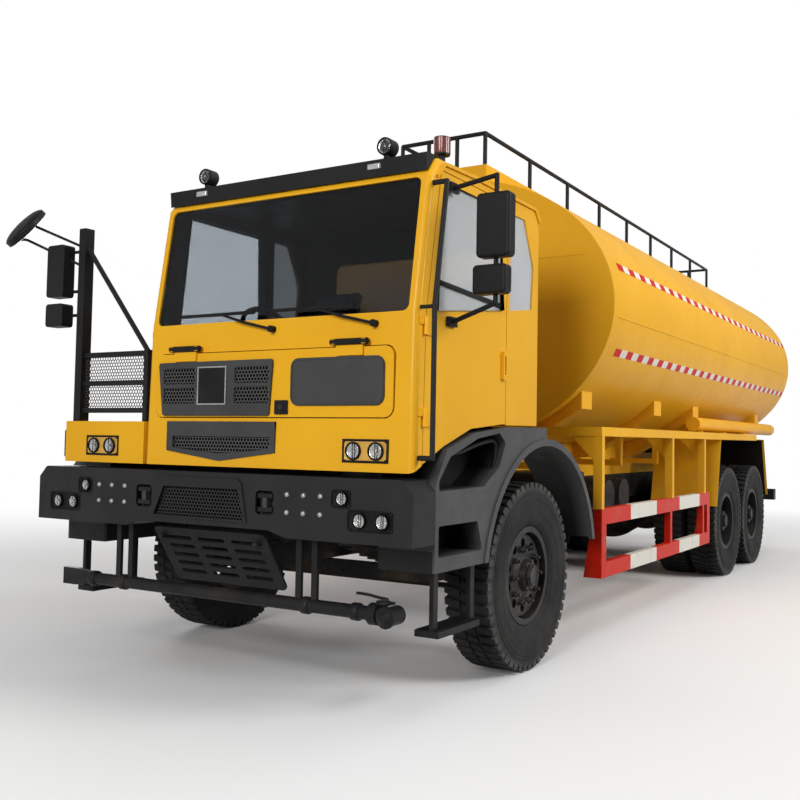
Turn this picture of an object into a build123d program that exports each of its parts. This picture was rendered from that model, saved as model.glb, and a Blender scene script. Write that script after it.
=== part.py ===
"""Off-road water tanker truck: chassis, offset cab, elliptical tank, steered and twin wheels."""
from math import cos, radians, sin, sqrt
import os

from build123d import *

os.makedirs("parts", exist_ok=True)

# Millimetres. X to the truck's left, Y to the rear, Z up from the ground.
AXLE = -3840            # front axle station
WHEELBASE = 5930        # front axle to first rear axle
BOGIE = 1460            # first to second rear axle
MID_AXLE = AXLE + WHEELBASE
REAR_AXLE = MID_AXLE + BOGIE
BOGIE_Y = (MID_AXLE + REAR_AXLE) / 2
SEAT = 0.3              # gap between curved faces that seat on each other
DOOR_GAP = 7            # gap round doors and hatch

TYRE_R = 685
TYRE_W = 375
RIM_R = 330             # bead seat
FLANGE_R = 356
TRACK_HALF = 1410       # outer tyre centre to centreline
TWIN_HALF = 985         # inner twin tyre centre to centreline

KINGPIN_X = 1130
KINGPIN_R = 36
ARM = 260               # kingpin to tie rod pin
ARM_Z = 545
SPINDLE_R = 62

RAIL_X = 425            # centre of the rail section
RAIL_W = 90
RAIL_H = 300
RAIL_T = 12
RAIL_Z = 980
FRAME_Y0 = AXLE - 1430
FRAME_Y1 = REAR_AXLE + 1940
CROSS_YS = [AXLE - 1380, AXLE + 1250, AXLE + 2700, AXLE + 4300, MID_AXLE - 630, BOGIE_Y,
            REAR_AXLE + 610, FRAME_Y1 - 50]

BUMPER_Y = AXLE - 1742
BUMPER_HALF = 1646
BUMPER_TOP = 1432
BUMPER_LOW = 1045
BUMPER_MID_LOW = 1085
BUMPER_DEPTH = 250
BUMPER_WALL = 14

CAB_X0 = -600           # right wall, outside
CAB_INSET = 36          # cab side from the bumper's end
CAB_X1 = BUMPER_HALF - CAB_INSET
CAB_MID = (CAB_X0 + CAB_X1) / 2
WALL = 70
CAB_Y0 = AXLE - 1695    # front, at the foot
CAB_Y1 = AXLE + 30
CAB_Z0 = 1470
SILL_Z = 2420           # windscreen foot
HEAD_Z = 3270           # windscreen head
ROOF_Z = 3400
FLOOR_Z = 1820
CORNER_R = 40           # rounded front corners and roof edges of the cab
HATCH_X0 = CAB_X0 + 90
HATCH_X1 = CAB_X1 - 140
HATCH_Z0 = 1790
HATCH_Z1 = 2232

DECK_INSET = 216        # deck box from the bumper's end
DECK_X0 = DECK_INSET - BUMPER_HALF
DECK_X1 = CAB_X0 - 12
DECK_TOP = 1765
DECK_T = 30
DECK_LOW = DECK_TOP - DECK_T
FENDER_INSET = 6        # fender skin from the bumper's end
FENDER_OUT = BUMPER_HALF - FENDER_INSET
FENDER_IN = FENDER_OUT - 405
ARCH_Y = AXLE + 110
ARCH_Z = 700
ARCH_R = 935
LIP = 50                # width of the arch lip
LIP_OUT = 12            # lip proud of the fender skin

TANK_A = 1740
TANK_B = 1255
TANK_Z = 2860
TANK_Y0 = AXLE + 1270
TANK_Y1 = REAR_AXLE + 1710
TANK_TOP = TANK_Z + TANK_B
COAM_HALF = 480
COAM_H = 110            # coaming above the tank's crown
COAM_TOP = TANK_TOP + COAM_H
COAM_T = 12
WALK_T = 25             # walkway plate above the crown
RAILING = 320           # rail above the coaming
RAIL_TOP = COAM_TOP + RAILING
RAIL_TUBE = 20
SUB_TOP = 1660          # top of the tank's sub-frame sills
BEAM_X = (1545, 1625)   # side beams
BEAM_Z = (1720, 1800)
GUARD_TOP = 1095        # side guards
GUARD_FOOT = 500
GUARD_Y = (TANK_Y0 + 94, MID_AXLE - TYRE_R - 345)
OUTRIGGERS = (GUARD_Y[0] - 24, GUARD_Y[1] - 1526, GUARD_Y[1] - 274)
HEX = 46                # pitch of the mesh holes, across flats and web
HEX_WEB = 12
# Underside of the cab from the back wall to the front
CAB_FOOT = [(CAB_Y1, FLOOR_Z - 40), (AXLE - 535, FLOOR_Z - 45), (AXLE - 1000, FLOOR_Z - 85),
            (AXLE - 1350, FLOOR_Z - 200)]


def front_plane(y):
    """Upright plane across the truck: x to the left, y up, normal to the front."""
    return Plane.XZ.offset(-y)


def side_plane(x):
    """Upright plane along the truck: x to the rear, y up, normal to the left."""
    return Plane.YZ.offset(x)


def block(x, y, z, mode=Mode.ADD):
    """Straight box between two corners, in the open part."""
    with Locations(((x[0] + x[1]) / 2, (y[0] + y[1]) / 2, (z[0] + z[1]) / 2)):
        Box(abs(x[1] - x[0]), abs(y[1] - y[0]), abs(z[1] - z[0]), mode=mode)


def plate(plane, points, amount, mode=Mode.ADD):
    """Flat plate of a straight-edged outline, in the open part."""
    with BuildSketch(plane) as outline:
        with BuildLine():
            Polyline(*points, close=True)
        make_face()
    extrude(outline.sketch, amount=amount, mode=mode)


def tube(points, radius):
    """Round bar along straight runs, in the open part."""
    for a, b in zip(points, points[1:]):
        run = Vector(b) - Vector(a)
        with BuildSketch(Plane(origin=a, z_dir=run)) as end:
            Circle(radius)
        extrude(end.sketch, amount=run.length)
    for knee in points[1:-1]:
        with Locations(knee):
            Sphere(radius)


def mesh(x, z, counts):
    """Rows of hexagonal holes about a centre, cut in the open sketch."""
    with Locations((x, z)):
        with HexLocations(HEX / 2, *counts):
            RegularPolygon((HEX - HEX_WEB) / 2, 6, major_radius=False, mode=Mode.SUBTRACT)


def shell_z(x):
    """Height of the tank's top at a distance from the centreline."""
    return TANK_Z + TANK_B * sqrt(1 - (x / TANK_A) ** 2)


def cab_under(y):
    """Height of the cab's underside at a station between its lowest corners."""
    rows = [(CAB_Y0, CAB_Z0), *CAB_FOOT[::-1]]
    for (y0, z0), (y1, z1) in zip(rows, rows[1:]):
        if y <= y1:
            return z0 + (z1 - z0) * (y - y0) / (y1 - y0)
    return rows[-1][1]


def finish(part, name):
    """Label a finished piece and write it."""
    part.label = name
    export_step(part, f"parts/{name}.step")


# Wheels
DISC_R = 296            # flat of the wheel disc
HAND_HOLES = 10
HAND_PCR = 236
HAND_R = 34


def tyres(xs, y, name):
    """Tyres of one wheel: bead, bulged wall, shoulder and tread in one revolved section."""
    half = TYRE_W / 2
    with BuildPart() as tyre:
        for x in xs:
            with BuildSketch(Plane(origin=(x, y, TYRE_R), x_dir=(1, 0, 0), z_dir=(0, -1, 0))):
                with BuildLine():
                    Polyline((half - 60, RIM_R + SEAT), (60 - half, RIM_R + SEAT), (60 - half, FLANGE_R))
                    ThreePointArc((60 - half, FLANGE_R), (-half, 0.72 * TYRE_R), (18 - half, TYRE_R - 42))
                    Polyline((18 - half, TYRE_R - 42), (44 - half, TYRE_R), (half - 44, TYRE_R),
                             (half - 18, TYRE_R - 42))
                    ThreePointArc((half - 18, TYRE_R - 42), (half, 0.72 * TYRE_R), (half - 60, FLANGE_R))
                    Line((half - 60, FLANGE_R), (half - 60, RIM_R + SEAT))
                make_face()
            revolve(axis=Axis((x, y, TYRE_R), (1, 0, 0)))
    finish(tyre.part, name)


def wheel(y, rows, hub, bore, name):
    """Steel wheel: a rim and dished disc for each row, and one hub with a blind bore for the spindle."""
    hub_in, hub_out, hub_r = hub
    bore_end, bore_r = bore
    out = 1 if hub_out > hub_in else -1
    axis = Axis((0, y, TYRE_R), (1, 0, 0))
    section = Plane(origin=(0, y, TYRE_R), x_dir=(1, 0, 0), z_dir=(0, -1, 0))
    with BuildPart() as steel:
        for x, disc_x, dish in rows:
            side = TYRE_W / 2 - 60 + SEAT
            with BuildSketch(section):
                with BuildLine():
                    Polyline((x - side - 14, FLANGE_R), (x - side, FLANGE_R), (x - side, RIM_R),
                             (x + side, RIM_R), (x + side, FLANGE_R), (x + side + 14, FLANGE_R),
                             (x + side + 14, RIM_R - 16), (x - side - 14, RIM_R - 16), close=True)
                make_face()
            revolve(axis=axis)
            with BuildSketch(section):
                with BuildLine():
                    Polyline((disc_x - 11, RIM_R - 10), (disc_x + 11, RIM_R - 10), (disc_x + dish + 11, DISC_R),
                             (disc_x + dish + 11, bore_r), (disc_x + dish - 11, bore_r),
                             (disc_x + dish - 11, DISC_R), close=True)
                make_face()
            revolve(axis=axis)
            with BuildSketch(Plane(origin=(disc_x + dish - 20, y, TYRE_R), z_dir=(1, 0, 0))):
                with PolarLocations(HAND_PCR, HAND_HOLES):
                    Circle(HAND_R)
            extrude(amount=40, mode=Mode.SUBTRACT)
        with BuildSketch(section):
            with BuildLine():
                Polyline((hub_in, bore_r), (hub_in, hub_r), (hub_out - out * 60, hub_r),
                         (hub_out - out * 40, 0.72 * hub_r), (hub_out, 0.66 * hub_r), (hub_out, 0),
                         (bore_end, 0), (bore_end, bore_r), close=True)
            make_face()
        revolve(axis=axis)
    finish(steel.part, name)


for side, word in ((1, "left"), (-1, "right")):
    x = side * TRACK_HALF
    tyres([x], AXLE, f"tyre_front_{word}")
    wheel(AXLE, [(x, x + side * 20, side * 70)], (side * 1300, side * 1572, 165),
          (side * 1500, SPINDLE_R + SEAT), f"wheel_front_{word}")
    for y, place in ((MID_AXLE, "mid"), (REAR_AXLE, "rear")):
        x_in = side * TWIN_HALF
        tyres([x, x_in], y, f"tyre_{place}_{word}")
        wheel(y, [(x, x - side * 70, -side * 40), (x_in, x_in + side * 70, side * 40)],
              (side * 1090, side * 1520, 180), (side * 1440, 92 + SEAT), f"wheel_{place}_{word}")

# Steering: knuckle with fork, kingpin, spindle and arm, and the tie rod between the arms
EYE_H = 150
for side, word in ((1, "left"), (-1, "right")):
    with BuildPart() as knuckle:
        pin_x = side * KINGPIN_X
        with Locations((pin_x, AXLE, TYRE_R)):
            Cylinder(KINGPIN_R, EYE_H + 130)
        for z in (TYRE_R + EYE_H / 2 + 35, TYRE_R - EYE_H / 2 - 35):
            with Locations((pin_x, AXLE, z)):
                Cylinder(70, 56)
            block((pin_x, pin_x + side * 125), (AXLE - 62, AXLE + 62), (z - 28, z + 28))
        block((pin_x + side * 90, pin_x + side * 125), (AXLE - 90, AXLE + 90),
              (TYRE_R - EYE_H / 2 - 63, TYRE_R + EYE_H / 2 + 63))
        with BuildSketch(Plane(origin=(pin_x + side * 124, AXLE, TYRE_R), z_dir=(side, 0, 0))):
            Circle(SPINDLE_R)
        extrude(amount=side * (side * 1490 - pin_x) - 124)
        block((pin_x - 34, pin_x + 34), (AXLE, AXLE + ARM), (ARM_Z - 2, ARM_Z + 56))
        with Locations((pin_x, AXLE + ARM, ARM_Z + 27)):
            Cylinder(42, 58)
        with Locations((pin_x, AXLE + ARM, ARM_Z - 30)):
            Cylinder(17, 80)
    finish(knuckle.part, f"knuckle_{word}")

with BuildPart() as tie_rod:
    for side in (1, -1):
        with Locations((side * KINGPIN_X, AXLE + ARM, ARM_Z - 40)):
            Cylinder(40, 56)
    with BuildSketch(Plane(origin=(-KINGPIN_X, AXLE + ARM, ARM_Z - 40), z_dir=(1, 0, 0))):
        Circle(22)
    extrude(amount=2 * KINGPIN_X)
    for side in (1, -1):
        with Locations((side * KINGPIN_X, AXLE + ARM, ARM_Z - 40)):
            Cylinder(17 + SEAT, 60, mode=Mode.SUBTRACT)
finish(tie_rod.part, "tie_rod")

# Front axle: dropped beam with an eye at each end
SPRING_X = RAIL_X
with BuildPart() as front_axle:
    z0 = 560
    plate(front_plane(AXLE - 55), [(-KINGPIN_X, TYRE_R - 60), (-KINGPIN_X, TYRE_R + 60),
                                   (-KINGPIN_X + 150, TYRE_R + 60), (-700, z0 + 110), (700, z0 + 110),
                                   (KINGPIN_X - 150, TYRE_R + 60), (KINGPIN_X, TYRE_R + 60),
                                   (KINGPIN_X, TYRE_R - 60), (KINGPIN_X - 150, TYRE_R - 60),
                                   (720, z0), (-720, z0), (-KINGPIN_X + 150, TYRE_R - 60)], -110)
    for side in (1, -1):
        block((side * SPRING_X - 75, side * SPRING_X + 75), (AXLE - 140, AXLE + 140), (z0 + 90, z0 + 150))
        with Locations((side * KINGPIN_X, AXLE, TYRE_R)):
            Cylinder(62, EYE_H)
            Cylinder(KINGPIN_R + SEAT, EYE_H + 20, mode=Mode.SUBTRACT)
finish(front_axle.part, "front_axle")


# Leaf springs: curved packs and their hangers under the rails
def leaf_pack(x, y, z, half, count, rise):
    """Stack of curved leaves, longest on top, in the open part. z is the foot of the pack."""
    t = 18
    with BuildSketch(side_plane(x - 45)) as pack:
        for i in range(count):
            reach = half * (1 - 0.8 * i / count)
            lift = rise * (reach / half) ** 2
            low = z + (count - 1 - i) * t
            with BuildLine():
                ThreePointArc((y - reach, low + lift), (y, low), (y + reach, low + lift))
                Line((y + reach, low + lift), (y + reach, low + lift + t))
                ThreePointArc((y + reach, low + lift + t), (y, low + t), (y - reach, low + lift + t))
                Line((y - reach, low + lift + t), (y - reach, low + lift))
            make_face()
    extrude(pack.sketch, amount=90)


SPRING_FOOT = 710
with BuildPart() as springs:
    for side in (1, -1):
        x = side * SPRING_X
        leaf_pack(x, AXLE, SPRING_FOOT, 800, 6, 110)
        for end in (-800, 800):
            block((x - 45, x + 45), (AXLE + end - 60, AXLE + end + 60), (SPRING_FOOT + 190, RAIL_Z))
        block((x - 60, x + 60), (AXLE - 70, AXLE + 70), (SPRING_FOOT + 100, SPRING_FOOT + 130))
    for side in (1, -1):
        x = side * 520
        with BuildSketch(side_plane(x - 55)):
            for i in range(6):
                reach = (BOGIE / 2 + 60) * (1 - 0.13 * i)
                low = TYRE_R + 150 + 20 * i
                with Locations((BOGIE_Y, low + 10)):
                    Rectangle(2 * reach, 20)
        extrude(amount=110)
        block((x - 70, x + 70), (BOGIE_Y - 110, BOGIE_Y + 110), (TYRE_R + 120, RAIL_Z))
        block((side * (RAIL_X + RAIL_W / 2), side * 590), (BOGIE_Y - 160, BOGIE_Y + 160),
              (TYRE_R + 270, RAIL_Z + 120))
    block((-520, 520), (BOGIE_Y - 60, BOGIE_Y + 60), (TYRE_R + 130, TYRE_R + 250))
finish(springs.part, "leaf_springs")

# Rear axles: housings with differential bowls, and the bogie springs across them
with BuildPart() as rear_axles:
    for y in (MID_AXLE, REAR_AXLE):
        with BuildSketch(Plane(origin=(0, y, TYRE_R), x_dir=(1, 0, 0), z_dir=(0, -1, 0))):
            with BuildLine():
                Polyline((-1430, 0), (-1430, 92), (-1080, 92), (-1080, 118), (-420, 128), (-290, 205))
                ThreePointArc((-290, 205), (0, 300), (290, 205))
                Polyline((290, 205), (420, 128), (1080, 118), (1080, 92), (1430, 92), (1430, 0), (-1430, 0))
            make_face()
        revolve(axis=Axis((0, y, TYRE_R), (1, 0, 0)))
        for side in (1, -1):
            block((side * 520 - 60, side * 520 + 60), (y - 90, y + 90), (TYRE_R, TYRE_R + 150))
finish(rear_axles.part, "rear_axles")


# Frame: channel rails, cross members, and the tank's sub-frame sills on top
with BuildPart() as frame:
    for side in (1, -1):
        with BuildSketch(front_plane(FRAME_Y0)):
            with Locations((side * RAIL_X, RAIL_Z + RAIL_H / 2)):
                Rectangle(RAIL_W, RAIL_H)
            with Locations((side * (RAIL_X - RAIL_T), RAIL_Z + RAIL_H / 2)):
                Rectangle(RAIL_W, RAIL_H - 2 * RAIL_T, mode=Mode.SUBTRACT)
        extrude(amount=FRAME_Y0 - FRAME_Y1)
    for y in CROSS_YS:
        block((-RAIL_X - 20, RAIL_X + 20), (y - 45, y + 45), (RAIL_Z + RAIL_T, RAIL_Z + RAIL_H - 60))
    pad = CAB_X0 + 20
    for y0, y1, low in ((AXLE - 1225, AXLE - 1135, 1520), (AXLE - 85, AXLE + 5, 1640)):
        plate(side_plane(pad), [(y0, low), (y1, low), (y1, cab_under(y1) - SEAT),
                                (y0, cab_under(y0) - SEAT)], FENDER_IN - pad)
        block((-FENDER_IN, pad), (y0, y1), (low, low + 80))
        block((-1045, -955), (y0, y1), (low + 70, DECK_LOW))
        for side in (1, -1):
            block((side * RAIL_X - 45, side * RAIL_X + 45), (y0, y1), (RAIL_Z + RAIL_H, low + 5))
finish(frame.part, "chassis_frame")

# Engine block, gearbox and shafts
with BuildPart() as powertrain:
    block((-340, 340), (AXLE - 1000, AXLE + 420), (800, 1560))
    with BuildSketch(front_plane(AXLE + 420 + SEAT)):
        with Locations((0, 1060)):
            RectangleRounded(520, 440, 60)
    with BuildSketch(front_plane(AXLE + 1120)):
        with Locations((0, 1000)):
            RectangleRounded(320, 320, 60)
    loft()
    for y0, z0, y1, z1 in ((AXLE + 1100, 900, MID_AXLE - 300.8, TYRE_R),
                           (MID_AXLE + 300.5, TYRE_R, REAR_AXLE - 300.5, TYRE_R)):
        tube([(0, y0, z0), (0, y1, z1)], 58)
finish(powertrain.part, "powertrain")

# Bumper: deep channel with mesh window, tow pockets and lamp pockets
MESH = [(-436, 1136), (-345, 1330), (320, 1330), (378, 1136)]
MESH_FRAME = [(-456, 1120), (-396, 1398), (344, 1398), (398, 1120)]
MESH_OUT = 10           # frame proud of the bumper
GRILLE = [(-380, 1768), (575, 1768), (575, 1570), (98, 1508), (-380, 1570)]
GRILLE_WINDOW = [(-324, 1668), (538, 1668), (528, 1590), (98, 1556), (-322, 1590)]
LAMPS_HIGH = 1138
LAMPS_LOW = (1270, 1432)
with BuildPart() as bumper:
    outline = [(-BUMPER_HALF, BUMPER_LOW), (-BUMPER_HALF, 1354), (-BUMPER_HALF + 70, BUMPER_TOP - 6),
               (-BUMPER_HALF + 90, BUMPER_TOP), (BUMPER_HALF - 90, BUMPER_TOP),
               (BUMPER_HALF - 70, BUMPER_TOP - 6), (BUMPER_HALF, 1354), (BUMPER_HALF, BUMPER_LOW),
               (710, BUMPER_LOW), (570, BUMPER_MID_LOW), (-570, BUMPER_MID_LOW), (-710, BUMPER_LOW)]
    plate(front_plane(BUMPER_Y), outline, -BUMPER_DEPTH)
    hollow = (BUMPER_Y + BUMPER_WALL, BUMPER_Y + BUMPER_DEPTH + 1)
    wing = BUMPER_HALF - BUMPER_WALL
    for xs in ((-wing, -720), (720, wing)):
        block(xs, hollow, (BUMPER_LOW + 10, 1340), mode=Mode.SUBTRACT)
    block((-wing + 106, wing - 106), hollow, (BUMPER_MID_LOW + 10, BUMPER_TOP - 26), mode=Mode.SUBTRACT)
    with BuildSketch(front_plane(BUMPER_Y)) as mesh_frame:
        with BuildLine():
            Polyline(*MESH_FRAME, close=True)
        make_face()
        fillet(mesh_frame.vertices().group_by(Axis.Y)[-1], 60)
    extrude(amount=MESH_OUT)
    plate(front_plane(BUMPER_Y - MESH_OUT - 1), MESH, -40 - MESH_OUT, mode=Mode.SUBTRACT)
    for side in (1, -1):
        with BuildSketch(front_plane(BUMPER_Y - 1)):
            with Locations((side * 540, 1256)):
                RectangleRounded(150, 150, 30)
            with Locations((side * LAMPS_HIGH, 1306)):
                RectangleRounded(150, 112, 24)
            with Locations((side * sum(LAMPS_LOW) / 2, 1182)):
                RectangleRounded(330, 130, 24)
        extrude(amount=-40, mode=Mode.SUBTRACT)
    for side in (1, -1):
        block((side * RAIL_X - 40, side * RAIL_X + 40), (BUMPER_Y + BUMPER_WALL, FRAME_Y0), (1090, 1116))
finish(bumper.part, "bumper")

GRILLE_OUT = 8          # lower grille proud of the cab front
with BuildPart() as bumper_mesh:
    back_y = BUMPER_Y + BUMPER_WALL + SEAT
    with BuildSketch(front_plane(back_y)):
        with BuildLine():
            Polyline((-440, 1120), (-380, 1390), (330, 1390), (390, 1120), close=True)
        make_face()
        mesh(-15, 1233, (14, 4))
    extrude(amount=-8)
    for side in (1, -1):
        block((side * 540 - 85, side * 540 + 85), (BUMPER_Y + 60, BUMPER_Y + 74), (1172, 1338))
        block((side * 540 - 16, side * 540 + 16), (BUMPER_Y + 2, BUMPER_Y + 61), (1222, 1290))
        block((side * 540 - 85, side * 540 + 85), (BUMPER_Y + BUMPER_WALL, BUMPER_Y + 74), (1172, 1180))
    with BuildSketch(front_plane(CAB_Y0 - GRILLE_OUT)):
        with BuildLine():
            Polyline(*GRILLE, close=True)
        make_face()
        with BuildLine():
            Polyline(*GRILLE_WINDOW, close=True)
        make_face(mode=Mode.SUBTRACT)
    extrude(amount=-GRILLE_OUT - 12)
    with BuildSketch(front_plane(CAB_Y0 + 12)):
        with BuildLine():
            Polyline(*GRILLE, close=True)
        make_face()
        mesh(104, 1628, (19, 2))
    extrude(amount=-10)
finish(bumper_mesh.part, "front_mesh")

# Front lamps: bumper lamps and headlamps of cab and deck, as housings with round faces
HEADLAMPS = ((CAB_X1 - 338, 1595), (DECK_X0 + 400, 1592))
with BuildPart() as front_lamps:
    for side in (1, -1):
        with BuildSketch(front_plane(BUMPER_Y + 6)):
            with Locations((side * LAMPS_HIGH, 1306)):
                RectangleRounded(150 - 2 * SEAT, 112 - 2 * SEAT, 24)
            with Locations((side * sum(LAMPS_LOW) / 2, 1182)):
                RectangleRounded(330 - 2 * SEAT, 130 - 2 * SEAT, 24)
        extrude(amount=-32)
        for x, z, r in ((LAMPS_HIGH, 1306, 44), (LAMPS_LOW[0], 1182, 48), (LAMPS_LOW[1], 1182, 48)):
            with BuildSketch(front_plane(BUMPER_Y + 7)):
                with Locations((side * x, z)):
                    Circle(r)
            extrude(amount=12)
    for x, z in HEADLAMPS:
        block((x - 168 + SEAT, x + 168 - SEAT), (CAB_Y0 - 6, CAB_Y0 + 40), (z - 72 + SEAT, z + 72 - SEAT))
        for dx in (-82, 82):
            with BuildSketch(front_plane(CAB_Y0 - 5)):
                with Locations((x + dx, z)):
                    Circle(56)
            extrude(amount=14)
finish(front_lamps.part, "front_lamps")

# Skid panel: slotted plate leaning back below the bumper
SKID_TOP = Vector(-50, BUMPER_Y + 130, 1040)
SKID_FOOT = Vector(-90, BUMPER_Y + 380, 650)
with BuildPart() as skid:
    lean = SKID_FOOT - SKID_TOP
    face = Plane(origin=(SKID_TOP + SKID_FOOT) * 0.5, x_dir=(1, 0, 0), z_dir=Vector(1, 0, 0).cross(lean))
    with BuildSketch(face):
        RectangleRounded(1010, lean.length, 40)
        with GridLocations(300, 74, 3, 5):
            SlotOverall(240, 34, mode=Mode.SUBTRACT)
    extrude(amount=8, both=True)
    for side in (1, -1):
        block((side * 430 - 90, side * 430 - 50), (SKID_TOP.Y - 10, FRAME_Y0 + 60), (RAIL_Z - 20, RAIL_Z))
finish(skid.part, "skid_panel")

# Spray bar: pipe under the bumper with struts, valve and nozzles
BAR_Y = AXLE - 1620
BAR_Z = 625
with BuildPart() as spray:
    tube([(-1180, BAR_Y, BAR_Z), (1290, BAR_Y, BAR_Z)], 42)
    for x in (-900, -780, 735, 860):
        block((x - 22, x + 22), (BAR_Y - 12, BAR_Y + 12), (BAR_Z, BUMPER_LOW))
    with BuildSketch(Plane(origin=(1290, BAR_Y, BAR_Z), z_dir=(1, 0, 0))):
        Circle(66)
    extrude(amount=60)
    tube([(1340, BAR_Y, BAR_Z), (1420, BAR_Y, BAR_Z)], 50)
    with BuildSketch(front_plane(BAR_Y + 60)):
        with Locations((1440, BAR_Z)):
            Circle(56)
    extrude(amount=130)
    block((1330, 1450), (BAR_Y - 14, BAR_Y + 14), (BAR_Z + 66, BAR_Z + 82))
    with Locations((1385, BAR_Y, BAR_Z + 55)):
        Cylinder(16, 60)
    plate(front_plane(BAR_Y - 24), [(-1170, BAR_Z - 40), (-1170, BAR_Z + 40), (-1330, BAR_Z + 60),
                                    (-1470, BAR_Z + 60), (-1470, BAR_Z - 60), (-1330, BAR_Z - 60)], -48)
finish(spray.part, "spray_bar")

# Cab: one outer body hollowed and split where its panels meet
CAB_SIDE = [(CAB_Y0, CAB_Z0), (CAB_Y0 + 25, SILL_Z), (CAB_Y0 + 150, HEAD_Z), (CAB_Y0 + 245, ROOF_Z),
            (CAB_Y1, ROOF_Z), *CAB_FOOT]
CAB_IN = [(CAB_Y0 + WALL, CAB_Z0 - 10), (CAB_Y0 + 25 + WALL, SILL_Z), (CAB_Y0 + 148 + WALL, HEAD_Z),
          (CAB_Y0 + 165 + WALL, ROOF_Z - WALL), (CAB_Y1 - WALL, ROOF_Z - WALL), (CAB_Y1 - WALL, FLOOR_Z),
          (AXLE - 1330, FLOOR_Z), (AXLE - 1330, CAB_Z0 - 10)]
DOOR_FRONT = AXLE - 1590
DOOR_REAR = AXLE - 515
DOOR_TOP = HEAD_Z + 48
DOOR_PIN_Y = DOOR_FRONT - DOOR_GAP / 2
PIN_OUT = 15            # hinge pin ahead of the skin
HINGES = {"left": (1745, 2290), "right": (1960, 2290)}


def door_outline(word, grow, drop):
    """Door leaf outline in the side view, grown by a gap for its opening, its foot lowered by drop.

    The left door ends along the underside of the cab, the right one above the deck."""
    front, rear = DOOR_FRONT - grow, DOOR_REAR + grow
    if word == "left":
        stations = [rear, *[y for y, z in CAB_FOOT if front < y < rear], front]
        foot = [(y, cab_under(y) + DOOR_LIFT - drop) for y in stations]
    else:
        foot = [(rear, DECK_DOOR_Z - drop), (front, DECK_DOOR_Z - drop)]
    return [(front + 20, SILL_Z), (front + 172, DOOR_TOP + grow), (rear, DOOR_TOP + grow), *foot]


HINGE_Z = 2256           # hatch hinge line
HATCH_PIN_Y = CAB_Y0 - 14
HATCH_HINGES = (-223, 1148)
DOOR_LIFT = 8            # left door's foot above the cab's underside
DECK_DOOR_Z = FLOOR_Z + 30
WINDOW_TOP = HEAD_Z - 8
DOOR_WINDOW = [(AXLE - 1455, 2450), (AXLE - 1368, WINDOW_TOP), (AXLE - 575, WINDOW_TOP), (AXLE - 575, 2562)]
QUARTER = [(AXLE - 465, 2576), (AXLE - 465, WINDOW_TOP), (AXLE - 238, WINDOW_TOP), (AXLE - 84, 2944),
           (AXLE - 110, 2625)]
GUTTER = [(AXLE - 1478, 3268), (AXLE - 1400, 3366), (AXLE - 1000, 3380), (AXLE - 70, 3374), (AXLE + 8, 3290)]
GUTTER_W = 22
GUTTER_OUT = 14
SCREEN_TILT = Plane(origin=(CAB_MID, CAB_Y0 + 25, SILL_Z), x_dir=(1, 0, 0), z_dir=(0, -(HEAD_Z - SILL_Z), 125))
SCREEN_H = sqrt((HEAD_Z - SILL_Z) ** 2 + 125 ** 2)
SCREEN_W = CAB_X1 - CAB_X0 - 130

with BuildPart() as cab_body:
    with BuildSketch(side_plane(CAB_X0)) as profile:
        with BuildLine():
            Polyline(*CAB_SIDE, close=True)
        make_face()
        fillet(profile.vertices().filter_by_position(Axis.Y, SILL_Z - 1, ROOF_Z + 1), CORNER_R + 20)
    extrude(amount=CAB_X1 - CAB_X0)
    rims = cab_body.faces().filter_by(Axis.X).edges()
    fillet(rims.filter_by_position(Axis.Z, 0.5 * (CAB_Z0 + SILL_Z) - 60, ROOF_Z + 1), CORNER_R)
    plate(side_plane(CAB_X0 + WALL), CAB_IN, CAB_X1 - CAB_X0 - 2 * WALL, mode=Mode.SUBTRACT)
    with BuildSketch(SCREEN_TILT):
        with Locations((0, SCREEN_H / 2)):
            RectangleRounded(SCREEN_W, SCREEN_H - 20, 45)
    extrude(amount=-110, mode=Mode.SUBTRACT)
    with BuildSketch(SCREEN_TILT.offset(60)):
        with Locations((0, SCREEN_H / 2)):
            RectangleRounded(SCREEN_W, SCREEN_H - 20, 45)
    extrude(amount=-70, mode=Mode.SUBTRACT)
    with BuildSketch(front_plane(CAB_Y0 - 30)):
        with Locations(((HATCH_X0 + HATCH_X1) / 2, (HATCH_Z0 + HATCH_Z1) / 2)):
            RectangleRounded(HATCH_X1 - HATCH_X0, HATCH_Z1 - HATCH_Z0, 70)
    extrude(amount=-100, mode=Mode.SUBTRACT)
    plate(front_plane(CAB_Y0 - 30), GRILLE, -110, mode=Mode.SUBTRACT)
    x, z = HEADLAMPS[0]
    block((x - 168, x + 168), (CAB_Y0 - 30, CAB_Y0 + 90), (z - 72, z + 72), mode=Mode.SUBTRACT)
    for side, x in (("left", CAB_X1 - WALL - 5), ("right", CAB_X0 - 5)):
        drop = WALL if side == "left" else DOOR_GAP
        plate(side_plane(x), door_outline(side, DOOR_GAP, drop), WALL + 10, mode=Mode.SUBTRACT)
        plate(side_plane(x), QUARTER, WALL + 10, mode=Mode.SUBTRACT)
    with BuildSketch(front_plane(CAB_Y1 + 5)):
        with Locations((CAB_MID, 2830)):
            RectangleRounded(1500, 560, 60)
    extrude(amount=WALL + 20, mode=Mode.SUBTRACT)

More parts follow.
